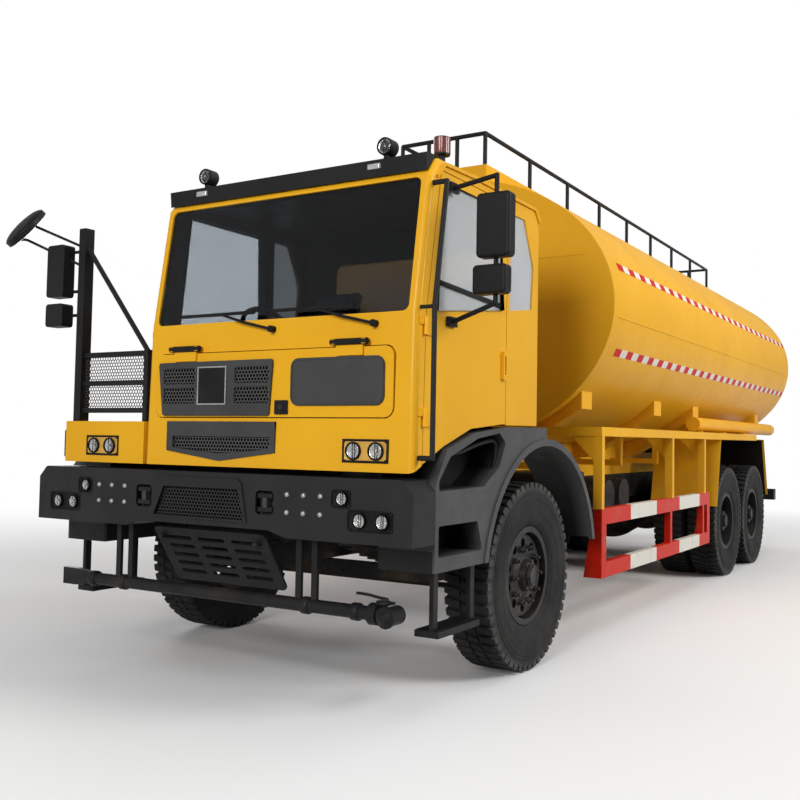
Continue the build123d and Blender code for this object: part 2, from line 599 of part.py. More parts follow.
FRONT_CUT = CAB_Y0 + 230
SPLIT_Z = HEAD_Z - 70     # roof panel meets the walls here
PANELS = {
    "cab_side_left": ((CAB_X1 - WALL, CAB_X1 + 50), (CAB_Y0 - 50, CAB_Y1 + 50), (1400, 3500)),
    "cab_side_right": ((CAB_X0 - 50, CAB_X0 + WALL), (CAB_Y0 - 50, CAB_Y1 + 50), (1400, 3500)),
    "cab_front": ((CAB_X0 + WALL, CAB_X1 - WALL), (CAB_Y0 - 50, FRONT_CUT), (1400, SPLIT_Z)),
    "cab_roof": ((CAB_X0 + WALL, CAB_X1 - WALL), (CAB_Y0 - 50, CAB_Y1 + 50), (SPLIT_Z, 3500)),
    "cab_back": ((CAB_X0 + WALL, CAB_X1 - WALL), (CAB_Y1 - WALL, CAB_Y1 + 50), (1400, SPLIT_Z)),
    "cab_floor": ((CAB_X0 + WALL, CAB_X1 - WALL), (FRONT_CUT, CAB_Y1 - WALL), (1400, SPLIT_Z)),
}
for name, (xs, ys, zs) in PANELS.items():
    with BuildPart() as panel:
        add(cab_body.part)
        block(xs, ys, zs, mode=Mode.INTERSECT)
        if "side" in name:
            side, skin = (1, CAB_X1) if "left" in name else (-1, CAB_X0)
            for z in HINGES[name[9:]]:
                z += 60 + SEAT
                block((skin, skin + side * 10), (DOOR_PIN_Y - 50, DOOR_PIN_Y), (z, z + 50))
                with Locations((skin + side * PIN_OUT, DOOR_PIN_Y, z + 25)):
                    Cylinder(PIN_OUT - 1, 50)
            with BuildSketch(side_plane(skin - side * GUTTER_OUT)) as gutter:
                with BuildLine():
                    FilletPolyline(*GUTTER, radius=60)
                trace(line_width=GUTTER_W)
            extrude(gutter.sketch, amount=side * 2 * GUTTER_OUT)
        if name == "cab_front":
            for x in HATCH_HINGES:
                for end in (-1, 1):
                    block((x + end * (100 + SEAT), x + end * 128), (HATCH_PIN_Y - 16, CAB_Y0 + 40),
                          (HINGE_Z - 16, HINGE_Z + 16))
    finish(panel.part, name)

# Cab glass: windscreen, quarter windows and back window, inset in their openings
GLASS_T = 10
with BuildPart() as cab_glass:
    with BuildSketch(SCREEN_TILT.offset(-12)):
        with Locations((0, SCREEN_H / 2)):
            RectangleRounded(SCREEN_W - 2 * SEAT, SCREEN_H - 20 - 2 * SEAT, 45)
    extrude(amount=-GLASS_T)
    for x in (CAB_X1 - 20, CAB_X0 + 20 - GLASS_T):
        plate(side_plane(x), QUARTER, GLASS_T)
    with BuildSketch(front_plane(CAB_Y1 - 20)):
        with Locations((CAB_MID, 2830)):
            RectangleRounded(1500 - 2 * SEAT, 560 - 2 * SEAT, 60)
    extrude(amount=GLASS_T)
finish(cab_glass.part, "cab_glass")

# Doors: leaf as thick as the wall, window cut, glass in its own piece
for side, word in ((1, "left"), (-1, "right")):
    x = CAB_X1 - WALL if side > 0 else CAB_X0
    with BuildPart() as door:
        plate(side_plane(x), door_outline(word, 0, 0), WALL)
        plate(side_plane(x - 5), DOOR_WINDOW, WALL + 10, mode=Mode.SUBTRACT)
        skin = CAB_X1 if side > 0 else CAB_X0
        with BuildSketch(side_plane(skin)) as handle:
            with Locations((DOOR_REAR - 45, 2184)):
                RectangleRounded(56, 200, 16)
                RectangleRounded(20, 130, 8, mode=Mode.SUBTRACT)
        extrude(handle.sketch, amount=side * 24)
        for z in HINGES[word]:
            block((skin, skin + side * 10), (DOOR_PIN_Y, DOOR_FRONT + 120), (z, z + 60))
            with Locations((skin + side * PIN_OUT, DOOR_PIN_Y, z + 30)):
                Cylinder(PIN_OUT - 1, 60)
    finish(door.part, f"door_{word}")
    with BuildPart() as pane:
        glass_x = CAB_X1 - 30 if side > 0 else CAB_X0 + 30 - GLASS_T
        plate(side_plane(glass_x), DOOR_WINDOW, GLASS_T)
    finish(pane.part, f"door_glass_{word}")

# Left mirrors on the door: two heads on a bent arm
with BuildPart() as mirror_left:
    arm_y = AXLE - 1290
    for z in (2400, 3240):
        block((CAB_X1, CAB_X1 + 26), (arm_y - 50, arm_y + 50), (z - 30, z + 30))
    arm_x = CAB_X1 + 315
    tube([(CAB_X1 + 20, arm_y, 3240), (arm_x, arm_y, 3285), (arm_x, arm_y, 2500), (CAB_X1 + 20, arm_y, 2400)], 15)
    for dx, z0, z1 in ((2, 2775, 3170), (-20, 2552, 2732)):
        with BuildSketch(front_plane(arm_y - 60)) as head:
            with Locations((arm_x + dx, (z0 + z1) / 2)):
                RectangleRounded(230, z1 - z0, 28)
        extrude(head.sketch, amount=-80)
        fillet(mirror_left.faces().filter_by(Axis.Y).group_by(Axis.Y)[0].edges(), 18)
finish(mirror_left.part, "mirror_left")

# Front hatch with its hinges, and the mesh and blank panels it carries
with BuildPart() as hatch:
    with BuildSketch(front_plane(CAB_Y0 + 4)):
        with Locations(((HATCH_X0 + HATCH_X1) / 2, (HATCH_Z0 + HATCH_Z1) / 2)):
            RectangleRounded(HATCH_X1 - HATCH_X0 - 2 * DOOR_GAP, HATCH_Z1 - HATCH_Z0 - 2 * DOOR_GAP, 64)
    extrude(amount=-30)
    for x in HATCH_HINGES:
        block((x - 100, x + 100), (CAB_Y0 - 12, CAB_Y0 + 6), (HATCH_Z1 - 60, HINGE_Z - 6))
        with BuildSketch(Plane(origin=(x - 100, HATCH_PIN_Y, HINGE_Z), z_dir=(1, 0, 0))):
            Circle(16)
        extrude(amount=200)
finish(hatch.part, "hatch_panel")

GRILLE_COLUMNS = (-271, 373)
GRILLE_ROWS = (2071, 1940)
GRILLE_CELL = (290, 106)
with BuildPart() as hatch_grille:
    seat_y = CAB_Y0 + 4 - SEAT
    with BuildSketch(front_plane(seat_y - 6)) as bezel:
        with BuildLine():
            Polyline((-470, 2166), (549, 2170), (523, 1806), (-425, 1806), close=True)
        make_face()
        fillet(bezel.vertices(), 20)
        for x in GRILLE_COLUMNS:
            for z in GRILLE_ROWS:
                with Locations((x, z)):
                    RectangleRounded(*GRILLE_CELL, 14, mode=Mode.SUBTRACT)
    extrude(amount=10)
    with BuildSketch(front_plane(seat_y)):
        with BuildLine():
            Polyline((-460, 2160), (540, 2160), (515, 1816), (-418, 1816), close=True)
        make_face()
        for x in GRILLE_COLUMNS:
            for z in GRILLE_ROWS:
                mesh(x, z, (6, 2))
    extrude(amount=6)
    with BuildSketch(front_plane(seat_y - 16)):
        with Locations((32, 2005)):
            RectangleRounded(256, 254, 6)
            RectangleRounded(232, 230, 4, mode=Mode.SUBTRACT)
    extrude(amount=6)
    with BuildSketch(front_plane(seat_y)):
        with Locations((1048, 2018)):
            RectangleRounded(712, 299, 60)
        with Locations((620, 1860)):
            RectangleRounded(100, 84, 8)
    extrude(amount=10)
finish(hatch_grille.part, "hatch_grille")

# Visor over the windscreen with work lamps and beacon
with BuildPart() as visor:
    plate(side_plane(CAB_X0 + 30), [(CAB_Y0 + 150, 3300), (CAB_Y0 + 140, 3405), (CAB_Y0 + 170, 3412),
                                    (CAB_Y0 + 330, ROOF_Z + 8), (CAB_Y0 + 300, ROOF_Z + 1.5),
                                    (CAB_Y0 + 240, ROOF_Z)], CAB_X1 - CAB_X0 - 60)
    for x in (-256, 1260):
        block((x - 12, x + 12), (CAB_Y0 + 170, CAB_Y0 + 230), (3380, 3450))
        with BuildSketch(front_plane(CAB_Y0 + 165)):
            with Locations((x, 3490)):
                Circle(56)
        extrude(amount=-75)
    for z0, z1, r in ((ROOF_Z + SEAT, 3492, 22), (3490, 3605, 53)):
        with Locations((CAB_X1 - 132, AXLE - 1200, (z0 + z1) / 2)):
            Cylinder(r, z1 - z0)
finish(visor.part, "visor")

# Wipers
with BuildPart() as wipers:
    for x in (522, 1317):
        y = CAB_Y0 + 22.4
        with BuildSketch(front_plane(y)):
            with Locations((x, 2362)):
                Circle(22)
        extrude(amount=40)
        tube([(x, y - 34, 2362), (x - 250, y - 34, 2420), (x - 440, y - 30, 2480)], 9)
        block((x - 800, x - 140), (y - 42, y - 22), (2466, 2486))
finish(wipers.part, "wipers")

# Cab inside: dashboard with column and wheel on the right, two seats
DRIVER_X = CAB_X0 + 560
MATE_X = CAB_X1 - 520
with BuildPart() as dash:
    lean = (CAB_IN[1][0] - CAB_IN[0][0]) / (CAB_IN[1][1] - CAB_IN[0][1])
    foot, top = (CAB_IN[0][0] + SEAT + lean * (z - CAB_IN[0][1]) for z in (FLOOR_Z + 250, 2380))
    plate(side_plane(CAB_X0 + WALL + 10), [(foot, FLOOR_Z + 250), (top, 2380),
                                           (FRONT_CUT + 90, 2400), (FRONT_CUT + 260, 2330),
                                           (FRONT_CUT + 260, 2180), (FRONT_CUT + 80, FLOOR_Z + 250)],
          CAB_X1 - CAB_X0 - 2 * WALL - 20)
    tube([(DRIVER_X, FRONT_CUT + 200, 2240), (DRIVER_X, FRONT_CUT + 380, 2420)], 30)
    rim = Plane(origin=(DRIVER_X, FRONT_CUT + 380, 2420), x_dir=(1, 0, 0), z_dir=(0, 1, 1))
    with BuildSketch(rim):
        Circle(225)
        Circle(195, mode=Mode.SUBTRACT)
        Circle(60)
        for turn in (90, 210, 330):
            with Locations(Rotation(0, 0, turn)):
                with Locations((0, 130)):
                    Rectangle(30, 160)
    extrude(amount=28)
finish(dash.part, "dashboard")

with BuildPart() as seats:
    for x in (DRIVER_X, MATE_X):
        block((x - 170, x + 170), (AXLE - 760, AXLE - 320), (FLOOR_Z, FLOOR_Z + 300))
        block((x - 250, x + 250), (AXLE - 800, AXLE - 280), (FLOOR_Z + 290, FLOOR_Z + 430))
        plate(side_plane(x - 240), [(AXLE - 400, FLOOR_Z + 420), (AXLE - 280, FLOOR_Z + 420),
                                    (AXLE - 170, FLOOR_Z + 1020), (AXLE - 270, FLOOR_Z + 1040)], 480)
finish(seats.part, "seats")


# Front fenders: moulded arch, step pockets and hung lower steps
def fender(side):
    """Fender block with arch and step pockets, mirrored by side, in the open part."""
    x0 = FENDER_IN if side > 0 else -FENDER_OUT
    depth = FENDER_OUT - FENDER_IN
    base = FLOOR_Z if side > 0 else DECK_LOW + 40
    top = [(AXLE - 1480, 1400), (AXLE - 1350, base - 210), (AXLE - 1000, base - 105),
           (AXLE - 535, base - 58), (AXLE + 120, base - 50)]
    outer = ARCH_R + LIP
    a, b, c = ((ARCH_Y + outer * cos(radians(t)), ARCH_Z + outer * sin(radians(t))) for t in (80, 45, 11))
    with BuildSketch(side_plane(x0)) as skin:
        with BuildLine():
            Polyline((AXLE - 1480, 870), *top)
            Polyline(top[-1], (AXLE + 120, a[1]), a)
            ThreePointArc(a, b, c)
            Line(c, (c[0] - 300, c[1]))
            Line((c[0] - 300, c[1]), (AXLE - 780, 870))
            Line((AXLE - 780, 870), (AXLE - 1480, 870))
        make_face()
        with Locations((ARCH_Y, ARCH_Z)):
            Circle(ARCH_R, mode=Mode.SUBTRACT)
    extrude(skin.sketch, amount=depth)
    deep = 250
    cut_x = FENDER_OUT - deep if side > 0 else -FENDER_OUT - LIP_OUT - 1
    with BuildSketch(side_plane(side * (FENDER_OUT - 20))) as lip:
        with Locations((ARCH_Y, ARCH_Z)):
            Circle(outer)
            Circle(ARCH_R, mode=Mode.SUBTRACT)
        with Locations((ARCH_Y, ARCH_Z + 170 - ARCH_R)):
            Rectangle(3 * ARCH_R, 2 * ARCH_R, mode=Mode.SUBTRACT)
    extrude(lip.sketch, amount=side * (20 + LIP_OUT))
    low_pocket = [(AXLE - 1440, 960), (AXLE - 1440, 1150), (AXLE - 950, 1150), (AXLE - 880, 960)]
    high_pocket = [(AXLE - 1440, 1358), (AXLE - 870, 1368), (AXLE - 650, 1490), (AXLE - 560, base - 165),
                   (AXLE - 650, base - 100), (AXLE - 960, base - 140), (AXLE - 1310, base - 255), (AXLE - 1440, 1420)]
    for outline in (low_pocket, high_pocket):
        with BuildSketch(side_plane(cut_x)) as pocket:
            with BuildLine():
                Polyline(*outline, close=True)
            make_face()
            fillet(pocket.vertices(), 22)
        extrude(pocket.sketch, amount=deep + LIP_OUT + 1, mode=Mode.SUBTRACT)
    for y in (AXLE - 1360, AXLE - 900):
        block((side * (FENDER_OUT - 60), side * (FENDER_OUT - 90)), (y - 26, y + 26), (500, 875))
    block((side * (FENDER_OUT - 190), side * (FENDER_OUT - 20)), (AXLE - 1390, AXLE - 870), (470, 510))


with BuildPart() as fenders:
    fender(1)
    fender(-1)
finish(fenders.part, "front_fenders")

# Right deck: lamp box in front and plate beside the cab
with BuildPart() as deck:
    block((DECK_X0, DECK_X1), (CAB_Y0, CAB_Y0 + 210), (CAB_Z0, DECK_TOP))
    x, z = HEADLAMPS[1]
    block((x - 168, x + 168), (CAB_Y0 - 5, CAB_Y0 + 40 + SEAT), (z - 72, z + 72), mode=Mode.SUBTRACT)
    block((-FENDER_OUT, DECK_X1), (CAB_Y0 + 200, CAB_Y1), (DECK_LOW, DECK_TOP))
    block((DECK_X0, DECK_X1), (CAB_Y0 + 200, CAB_Y0 + 280), (DECK_LOW - 93, DECK_TOP))
finish(deck.part, "right_deck")

# Deck guard: frame with perforated panel, mirror post, brace and mirrors
POST_X = DECK_X0 + 70
POST_Y = CAB_Y0 + 70
PANEL_RAILS = (1845, 2043, 2252)
with BuildPart() as guard:
    block((POST_X - 35, POST_X + 35), (POST_Y - 40, POST_Y + 40), (DECK_TOP, 3205))
    block((-690, -650), (POST_Y - 20, POST_Y + 20), (DECK_TOP, 2275))
    for z in PANEL_RAILS:
        block((POST_X, -650), (POST_Y - 20, POST_Y + 20), (z - 18, z + 18))
    tube([(POST_X, POST_Y, 3085), (-670, POST_Y, 2265)], 18)
    head_x = POST_X - 210
    for z in (3040, 2740, 2560):
        tube([(POST_X, POST_Y, z), (head_x, POST_Y - 10, z)], 12)
    for z0, z1 in ((2692, 3085), (2470, 2642)):
        with BuildSketch(front_plane(POST_Y - 70)) as head:
            with Locations((head_x, (z0 + z1) / 2)):
                RectangleRounded(190, z1 - z0, 26)
        extrude(head.sketch, amount=-60)
    for z0, z1 in ((3060, 3270), (2915, 3140)):
        tube([(POST_X, POST_Y, z0), (POST_X - 480, CAB_Y0 - 90, z1)], 10)
    hoop = DECK_X0 - SEAT
    tube([(hoop, POST_Y, 1690), (hoop - 85, POST_Y, 1690), (hoop - 85, POST_Y, 1510), (hoop, POST_Y, 1510)], 11)
    dish = Plane(origin=(POST_X - 495, CAB_Y0 - 110, 3240), z_dir=(0.25, 0.75, -0.6))
    with BuildSketch(dish):
        Circle(185)
    extrude(amount=36)
    for x, z0 in ((CAB_X1, 1560),):
        foot = CAB_Y0 + 60
        tube([(x + SEAT, foot, z0), (x + 95, foot, z0), (x + 95, foot, 2450),
              (x + 95, CAB_Y0 + 180, 3220), (x + SEAT, CAB_Y0 + 180, 3220)], 16)
        tube([(x + SEAT, foot, 2450), (x + 95, foot, 2450)], 12)
finish(guard.part, "deck_guard")

with BuildPart() as guard_mesh:
    with BuildSketch(front_plane(POST_Y - 3)):
        for low, high in zip(PANEL_RAILS, PANEL_RAILS[1:]):
            z0, z1 = low + 18 + SEAT, high - 18 - SEAT
            x0, x1 = POST_X + 35 + SEAT, -690 - SEAT
            with Locations(((x0 + x1) / 2, (z0 + z1) / 2)):
                Rectangle(x1 - x0, z1 - z0)
            mesh((x0 + x1) / 2, (z0 + z1) / 2, (12, 3))
    extrude(amount=-6)
finish(guard_mesh.part, "guard_mesh")

# Tank: elliptical shell with flush heads, and the flanged outlet in the rear head
OUTLET_X = -620
OUTLET_Z = 1980
OUTLET_R = 75
OUTLET_OUT = 110
OUTLET_PCD = 240
OUTLET_BOLTS = 8
OUTLET_HOLE_R = 11
with BuildPart() as tank:
    with BuildSketch(front_plane(TANK_Y0)):
        with Locations((0, TANK_Z)):
            Ellipse(TANK_A, TANK_B)
    extrude(amount=TANK_Y0 - TANK_Y1)
    with BuildSketch(front_plane(TANK_Y1)):
        with Locations((OUTLET_X, OUTLET_Z)):
            Circle(84)
    extrude(amount=-OUTLET_OUT)
    with BuildSketch(front_plane(TANK_Y1 + OUTLET_OUT - 22)):
        with Locations((OUTLET_X, OUTLET_Z)):
            Circle(142)
            with PolarLocations(OUTLET_PCD / 2, OUTLET_BOLTS):
                Circle(OUTLET_HOLE_R, mode=Mode.SUBTRACT)
    extrude(amount=-22)
    with BuildSketch(front_plane(TANK_Y1 + OUTLET_OUT)):
        with Locations((OUTLET_X, OUTLET_Z)):
            Circle(OUTLET_R)
    extrude(amount=OUTLET_OUT, mode=Mode.SUBTRACT)
finish(tank.part, "tank")


MANHOLE_Y = AXLE + 5200  # clear of the rail posts
MANHOLE_R = 300
LID_Z = COAM_TOP + 25    # seat of the lid on the neck
with BuildPart() as coaming:
    block((-COAM_HALF, COAM_HALF), (TANK_Y0, TANK_Y1), (shell_z(COAM_HALF) - 100, COAM_TOP))
    block((-COAM_HALF + COAM_T, COAM_HALF - COAM_T), (TANK_Y0 + COAM_T, TANK_Y1 - COAM_T),
          (TANK_TOP + WALK_T, COAM_TOP + 1), mode=Mode.SUBTRACT)
    with BuildSketch(front_plane(TANK_Y0 - 10)):
        with Locations((0, TANK_Z)):
            Ellipse(TANK_A + SEAT, TANK_B + SEAT)
    extrude(amount=TANK_Y0 - TANK_Y1 - 20, mode=Mode.SUBTRACT)
    with Locations((0, MANHOLE_Y, TANK_TOP + WALK_T - 10)):
        Cylinder(MANHOLE_R, LID_Z - TANK_TOP - WALK_T + 10, align=(Align.CENTER, Align.CENTER, Align.MIN))
    block((-60, 60), (MANHOLE_Y + MANHOLE_R - 30, MANHOLE_Y + MANHOLE_R + 90), (LID_Z - 50, LID_Z - 5))
finish(coaming.part, "tank_coaming")

with BuildPart() as lid:
    with Locations((0, MANHOLE_Y, LID_Z + 12.5)):
        Cylinder(MANHOLE_R + 30, 24)
    block((-60, 60), (MANHOLE_Y + MANHOLE_R, MANHOLE_Y + MANHOLE_R + 70), (LID_Z + 0.5, LID_Z + 24.5))
    tube([(-70, MANHOLE_Y + MANHOLE_R + 70, LID_Z + 12), (70, MANHOLE_Y + MANHOLE_R + 70, LID_Z + 12)], 16.5)
finish(lid.part, "manhole_lid")

# Top rails: posts and tubes on the coaming, with a cross rail at each end
POSTS = 9
with BuildPart() as rails:
    rail_x = COAM_HALF - RAIL_TUBE - 4
    y0 = TANK_Y0 + RAIL_TUBE + 4
    y1 = TANK_Y1 - RAIL_TUBE - 4
    top = RAIL_TOP - RAIL_TUBE
    tube([(rail_x, y0, top), (rail_x, y1, top), (-rail_x, y1, top), (-rail_x, y0, top)], RAIL_TUBE)
    tube([(rail_x, y0, top), (-rail_x, y0, top)], RAIL_TUBE)
    for i in range(POSTS):
        y = y0 + (y1 - y0) * i / (POSTS - 1)
        for x in (rail_x, -rail_x):
            tube([(x, y, COAM_TOP + SEAT), (x, y, top)], RAIL_TUBE)
    for y in (y0, y1):
        for x in (rail_x - 300, 300 - rail_x):
            tube([(x, y, COAM_TOP + SEAT), (x, y, top)], RAIL_TUBE)
finish(rails.part, "tank_rails")

# Saddles: sills on the frame rails, cross plates cut to the shell, end plates
SADDLES = (TANK_Y0 + 240, AXLE + 3540, MID_AXLE - 900, REAR_AXLE + 1010)
HOSE_Y = (MID_AXLE - 1230, TANK_Y1 - 100)
with BuildPart() as saddles:
    for side in (1, -1):
        block((side * RAIL_X - 45, side * RAIL_X + 45), (TANK_Y0 + 80, TANK_Y1 - 50), (RAIL_Z + RAIL_H, SUB_TOP))
    for y in SADDLES:
        plate(front_plane(y - 120), [(-1400, 2130), (-1400, 1960), (-620, 1500), (620, 1500), (1400, 1960),
                                     (1400, 2130)], -240)
    with BuildSketch(front_plane(TANK_Y0 - 10)):
        with Locations((0, TANK_Z)):
            Ellipse(TANK_A + SEAT, TANK_B + SEAT)
    extrude(amount=TANK_Y0 - TANK_Y1 - 20, mode=Mode.SUBTRACT)
    for side in (1, -1):
        tube([(side * 1460, HOSE_Y[0], 1895), (side * 1460, HOSE_Y[1], 1895)], 85)
        for y in (HOSE_Y[0] + 100, MID_AXLE - 30, REAR_AXLE - 390):
            block((side * 1440, side * BEAM_X[0]), (y - 25, y + 25), (1750, 1818))
finish(saddles.part, "tank_saddles")

# Side frames: outrigger beam, posts and gussets on each side, and sheet mudguards over the twins
MUD_X = (795, 1622)
MUD_TOP = 1738
sheet = 6
with BuildPart() as side_frames:
    for side in (1, -1):
        xs = (side * BEAM_X[0], side * BEAM_X[1])
        block(xs, (OUTRIGGERS[0] - 40, REAR_AXLE - 30), BEAM_Z)
        for y in OUTRIGGERS:
            block((side * 1000, xs[1]), (y - 30, y + 30), BEAM_Z)
            block(xs, (y - 30, y + 30), (GUARD_TOP, BEAM_Z[0] + 5))
            plate(front_plane(y - 4), [(side * 1545, 1500), (side * 1545, 1725), (side * 1320, 1725)], -8)
            block((side * 1000, side * 1060), (y - 30, y + 30), (1420, BEAM_Z[1]))
            block((side * (RAIL_X + 45), side * 1060), (y - 30, y + 30), (1420, 1480))
    for side in (1, -1):
        x0 = MUD_X[0] if side > 0 else -MUD_X[1]
        outer = [(MID_AXLE - 750, 910), (MID_AXLE - 550, MUD_TOP), (REAR_AXLE + 470, MUD_TOP), (REAR_AXLE + 740, 930)]
        inner = [(REAR_AXLE + 740 - sheet, 930), (REAR_AXLE + 470 - sheet, MUD_TOP - sheet),
                 (MID_AXLE - 550 + sheet, MUD_TOP - sheet), (MID_AXLE - 750 + sheet, 910)]
        plate(side_plane(x0), outer + inner, MUD_X[1] - MUD_X[0])
        for y in (MID_AXLE - 330, REAR_AXLE + 310):
            block((side * (RAIL_X + 45), side * (MUD_X[0] + 40)), (y - 30, y + 30), (1540, 1600))
            block((side * MUD_X[0], side * (MUD_X[0] + 40)), (y - 30, y + 30), (1560, MUD_TOP - sheet))
finish(side_frames.part, "side_frames")

# Side guards: two bars between end posts, deeper at the foot
with BuildPart() as side_guards:
    for side in (1, -1):
        x0, x1 = side * 1540, side * 1606
        block((x0, x1), GUARD_Y, (GUARD_TOP - 138, GUARD_TOP))
        block((x0, x1), GUARD_Y, (GUARD_FOOT, GUARD_FOOT + 133))
        for y in (GUARD_Y[0], GUARD_Y[1] - 110):
            plate(front_plane(y), [(x1, GUARD_FOOT), (x1, GUARD_TOP), (side * 1530, GUARD_TOP),
                                   (side * 1440, GUARD_FOOT)], -110)
        for y in OUTRIGGERS[1:]:
            block((x0, x1), (y - 30, y + 30), (GUARD_FOOT + 100, GUARD_TOP - 95))
finish(side_guards.part, "side_guards")

# Service boxes on the frame: fuel tank, battery box, air tanks
with BuildPart() as boxes:
    with BuildSketch(side_plane(-1180)):
        with Locations((AXLE + 2400, 1130)):
            RectangleRounded(1300, 640, 120)
    extrude(amount=1180 - RAIL_X - 45)
    with BuildSketch(side_plane(RAIL_X + 45)):
        with Locations((AXLE + 1900, 1120)):
            RectangleRounded(760, 520, 40)
    extrude(amount=600)
    for y in (AXLE + 2700, AXLE + 3150):
        with BuildSketch(side_plane(RAIL_X + 45)):
            with Locations((y, 1130)):
                Circle(160)
        extrude(amount=700)
finish(boxes.part, "service_boxes")

# Rear: bumper bar on drop arms, and the ladder on the tank's rear head
REAR_BAR_Y = FRAME_Y1 + 120
TOW_Y0 = CROSS_YS[-1] + 45
TOW_PIN_Y = TOW_Y0 + 150
TOW_PIN_R = 25.05
TOW_EARS = (1030, 1110)
TOW_EAR_T = 30
with BuildPart() as rear_bar:
    block((-1450, 1450), (REAR_BAR_Y, REAR_BAR_Y + 150), (780, 950))
    for side in (1, -1):
        plate(side_plane(side * RAIL_X - 40), [(FRAME_Y1 - 180, RAIL_Z), (FRAME_Y1, RAIL_Z),
                                               (REAR_BAR_Y + 10, 940), (REAR_BAR_Y + 10, 790),
                                               (FRAME_Y1 - 30, 790)], 80)
    block((-200, 200), (TOW_Y0, TOW_Y0 + 20), (1000, 1200))
    for z in TOW_EARS:
        with BuildSketch(Plane.XY.offset(z)):
            with Locations((0, TOW_Y0 + 80)):
                SlotCenterToCenter(140, 150, rotation=90)
            with Locations((0, TOW_PIN_Y)):
                Circle(TOW_PIN_R, mode=Mode.SUBTRACT)
        extrude(amount=TOW_EAR_T)
    block((-200, 200), (TOW_Y0 - 100, TOW_Y0), (1000, 1200), mode=Mode.SUBTRACT)
finish(rear_bar.part, "rear_bumper")

with BuildPart() as ladder:
    rung_y = TANK_Y1 + 120
    head = shell_z(230) - 44
    for x in (-230, 230):
        tube([(x, TANK_Y1 + SEAT, head), (x, rung_y, head), (x, rung_y, 1500)], 18)
        tube([(x, TANK_Y1 + SEAT, 1720), (x, rung_y, 1720)], 15)
    for i in range(9):
        z = 1560 + i * 300
        tube([(-230, rung_y, z), (230, rung_y, z)], 14)
finish(ladder.part, "ladder")
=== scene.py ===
# %% [markdown]
# # Dressing an off-road water tanker truck
# The construction comes from CAD as a fixed frame: every solid already has its place and size in
# metres, with X to the truck's left, Y to the rear and Z up. Blender adds what CAD leaves plain:
# paint, rubber, glass, tread, mesh grilles, lamps, tapes and seats. Nothing of the frame is moved.

# %% load the frame
import math

import bmesh
import bpy
from mathutils import Matrix, Vector


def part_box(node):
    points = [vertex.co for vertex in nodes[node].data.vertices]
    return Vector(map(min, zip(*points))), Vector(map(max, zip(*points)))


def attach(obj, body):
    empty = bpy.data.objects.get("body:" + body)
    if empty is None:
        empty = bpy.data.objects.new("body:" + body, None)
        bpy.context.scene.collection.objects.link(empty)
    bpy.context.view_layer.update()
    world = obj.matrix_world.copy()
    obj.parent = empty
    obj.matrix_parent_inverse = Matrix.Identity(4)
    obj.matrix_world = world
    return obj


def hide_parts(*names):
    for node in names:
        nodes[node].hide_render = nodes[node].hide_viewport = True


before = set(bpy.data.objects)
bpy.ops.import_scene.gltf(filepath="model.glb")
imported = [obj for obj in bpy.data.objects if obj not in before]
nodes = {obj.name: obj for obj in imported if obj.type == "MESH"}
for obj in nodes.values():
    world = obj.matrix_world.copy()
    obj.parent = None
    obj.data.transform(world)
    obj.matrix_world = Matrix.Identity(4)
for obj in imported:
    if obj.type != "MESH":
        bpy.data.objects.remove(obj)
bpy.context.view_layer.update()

# %% [markdown]
# ## The camera
# A photograph of a big vehicle from close by has strong perspective, so a guess by eye never lines
# up. The place, heading and focal length below were solved from straight edges whose real lengths
# are known. The heading is written as angles and turned into three axes, which fill the columns of
# the camera's matrix. A small lens shift keeps the picture's framing.

# %% camera at the photograph's view
AXLE_Y, TYRE_R = -3.840, 0.685
AXLES = {"front": AXLE_Y, "mid": AXLE_Y + 5.930, "rear": AXLE_Y + 7.390}
SIDES = ((1, "left"), (-1, "right"))
PICTURE, FOCAL, CENTRE_X, CENTRE_Y = 800, 939.4, 453.11, 394.59
CAMERA_PLACE = Vector((4.5258, -6.308 + AXLE_Y, 1.674))
HEADING, PITCH, ROLL = (math.radians(angle) for angle in (29.9068, 2.7206, 0.8918))
forward = Vector((-math.sin(HEADING) * math.cos(PITCH), math.cos(HEADING) * math.cos(PITCH), math.sin(PITCH)))
right = Vector((math.cos(HEADING), math.sin(HEADING), 0))
upward = right.cross(forward)
right, upward = (right * math.cos(ROLL) + upward * math.sin(ROLL),
                 upward * math.cos(ROLL) - right * math.sin(ROLL))
eye = bpy.data.cameras.new("photo_camera")
eye.sensor_width = 36
eye.lens = FOCAL * 36 / PICTURE
eye.shift_x = (PICTURE / 2 - CENTRE_X) / PICTURE
eye.shift_y = (CENTRE_Y - PICTURE / 2) / PICTURE
eye.clip_end = 200
camera = bpy.data.objects.new("photo_camera", eye)
axes = Matrix((right, upward, -forward)).transposed().to_4x4()
camera.matrix_world = Matrix.Translation(CAMERA_PLACE) @ axes
bpy.context.collection.objects.link(camera)
bpy.context.scene.camera = camera
print("camera at", tuple(round(v, 2) for v in CAMERA_PLACE), "lens", round(eye.lens, 1))

# %% [markdown]
# ## Floor and light
# The object stands on a plain pale floor in soft studio light. Four wide lamps and a pale sky give
# shadows with soft edges. The sky is white only for rays that reach the camera directly or through
# glass, and dimmer in reflections, so the background is white without a pale veil on the paint.

# %% studio
bpy.context.scene.view_settings.view_transform = "Standard"


def lamp(name, place, target, size, watts):
    """A square area lamp aimed at a point."""
    light = bpy.data.lights.new(name, "AREA")
    light.size = size
    light.energy = watts
    obj = bpy.data.objects.new(name, light)
    obj.location = place
    obj.rotation_euler = (Vector(target) - Vector(place)).to_track_quat("-Z", "Y").to_euler()
    bpy.context.collection.objects.link(obj)


def maths(tree, operation, first, second=None):
    """A Math node on values or numbers."""
    node = tree.nodes.new("ShaderNodeMath")
    node.operation = operation
    for socket, value in zip(node.inputs, (first, second)):
        if isinstance(value, (int, float)):
            socket.default_value = value
        elif value is not None:
            tree.links.new(value, socket)
    return node.outputs[0]


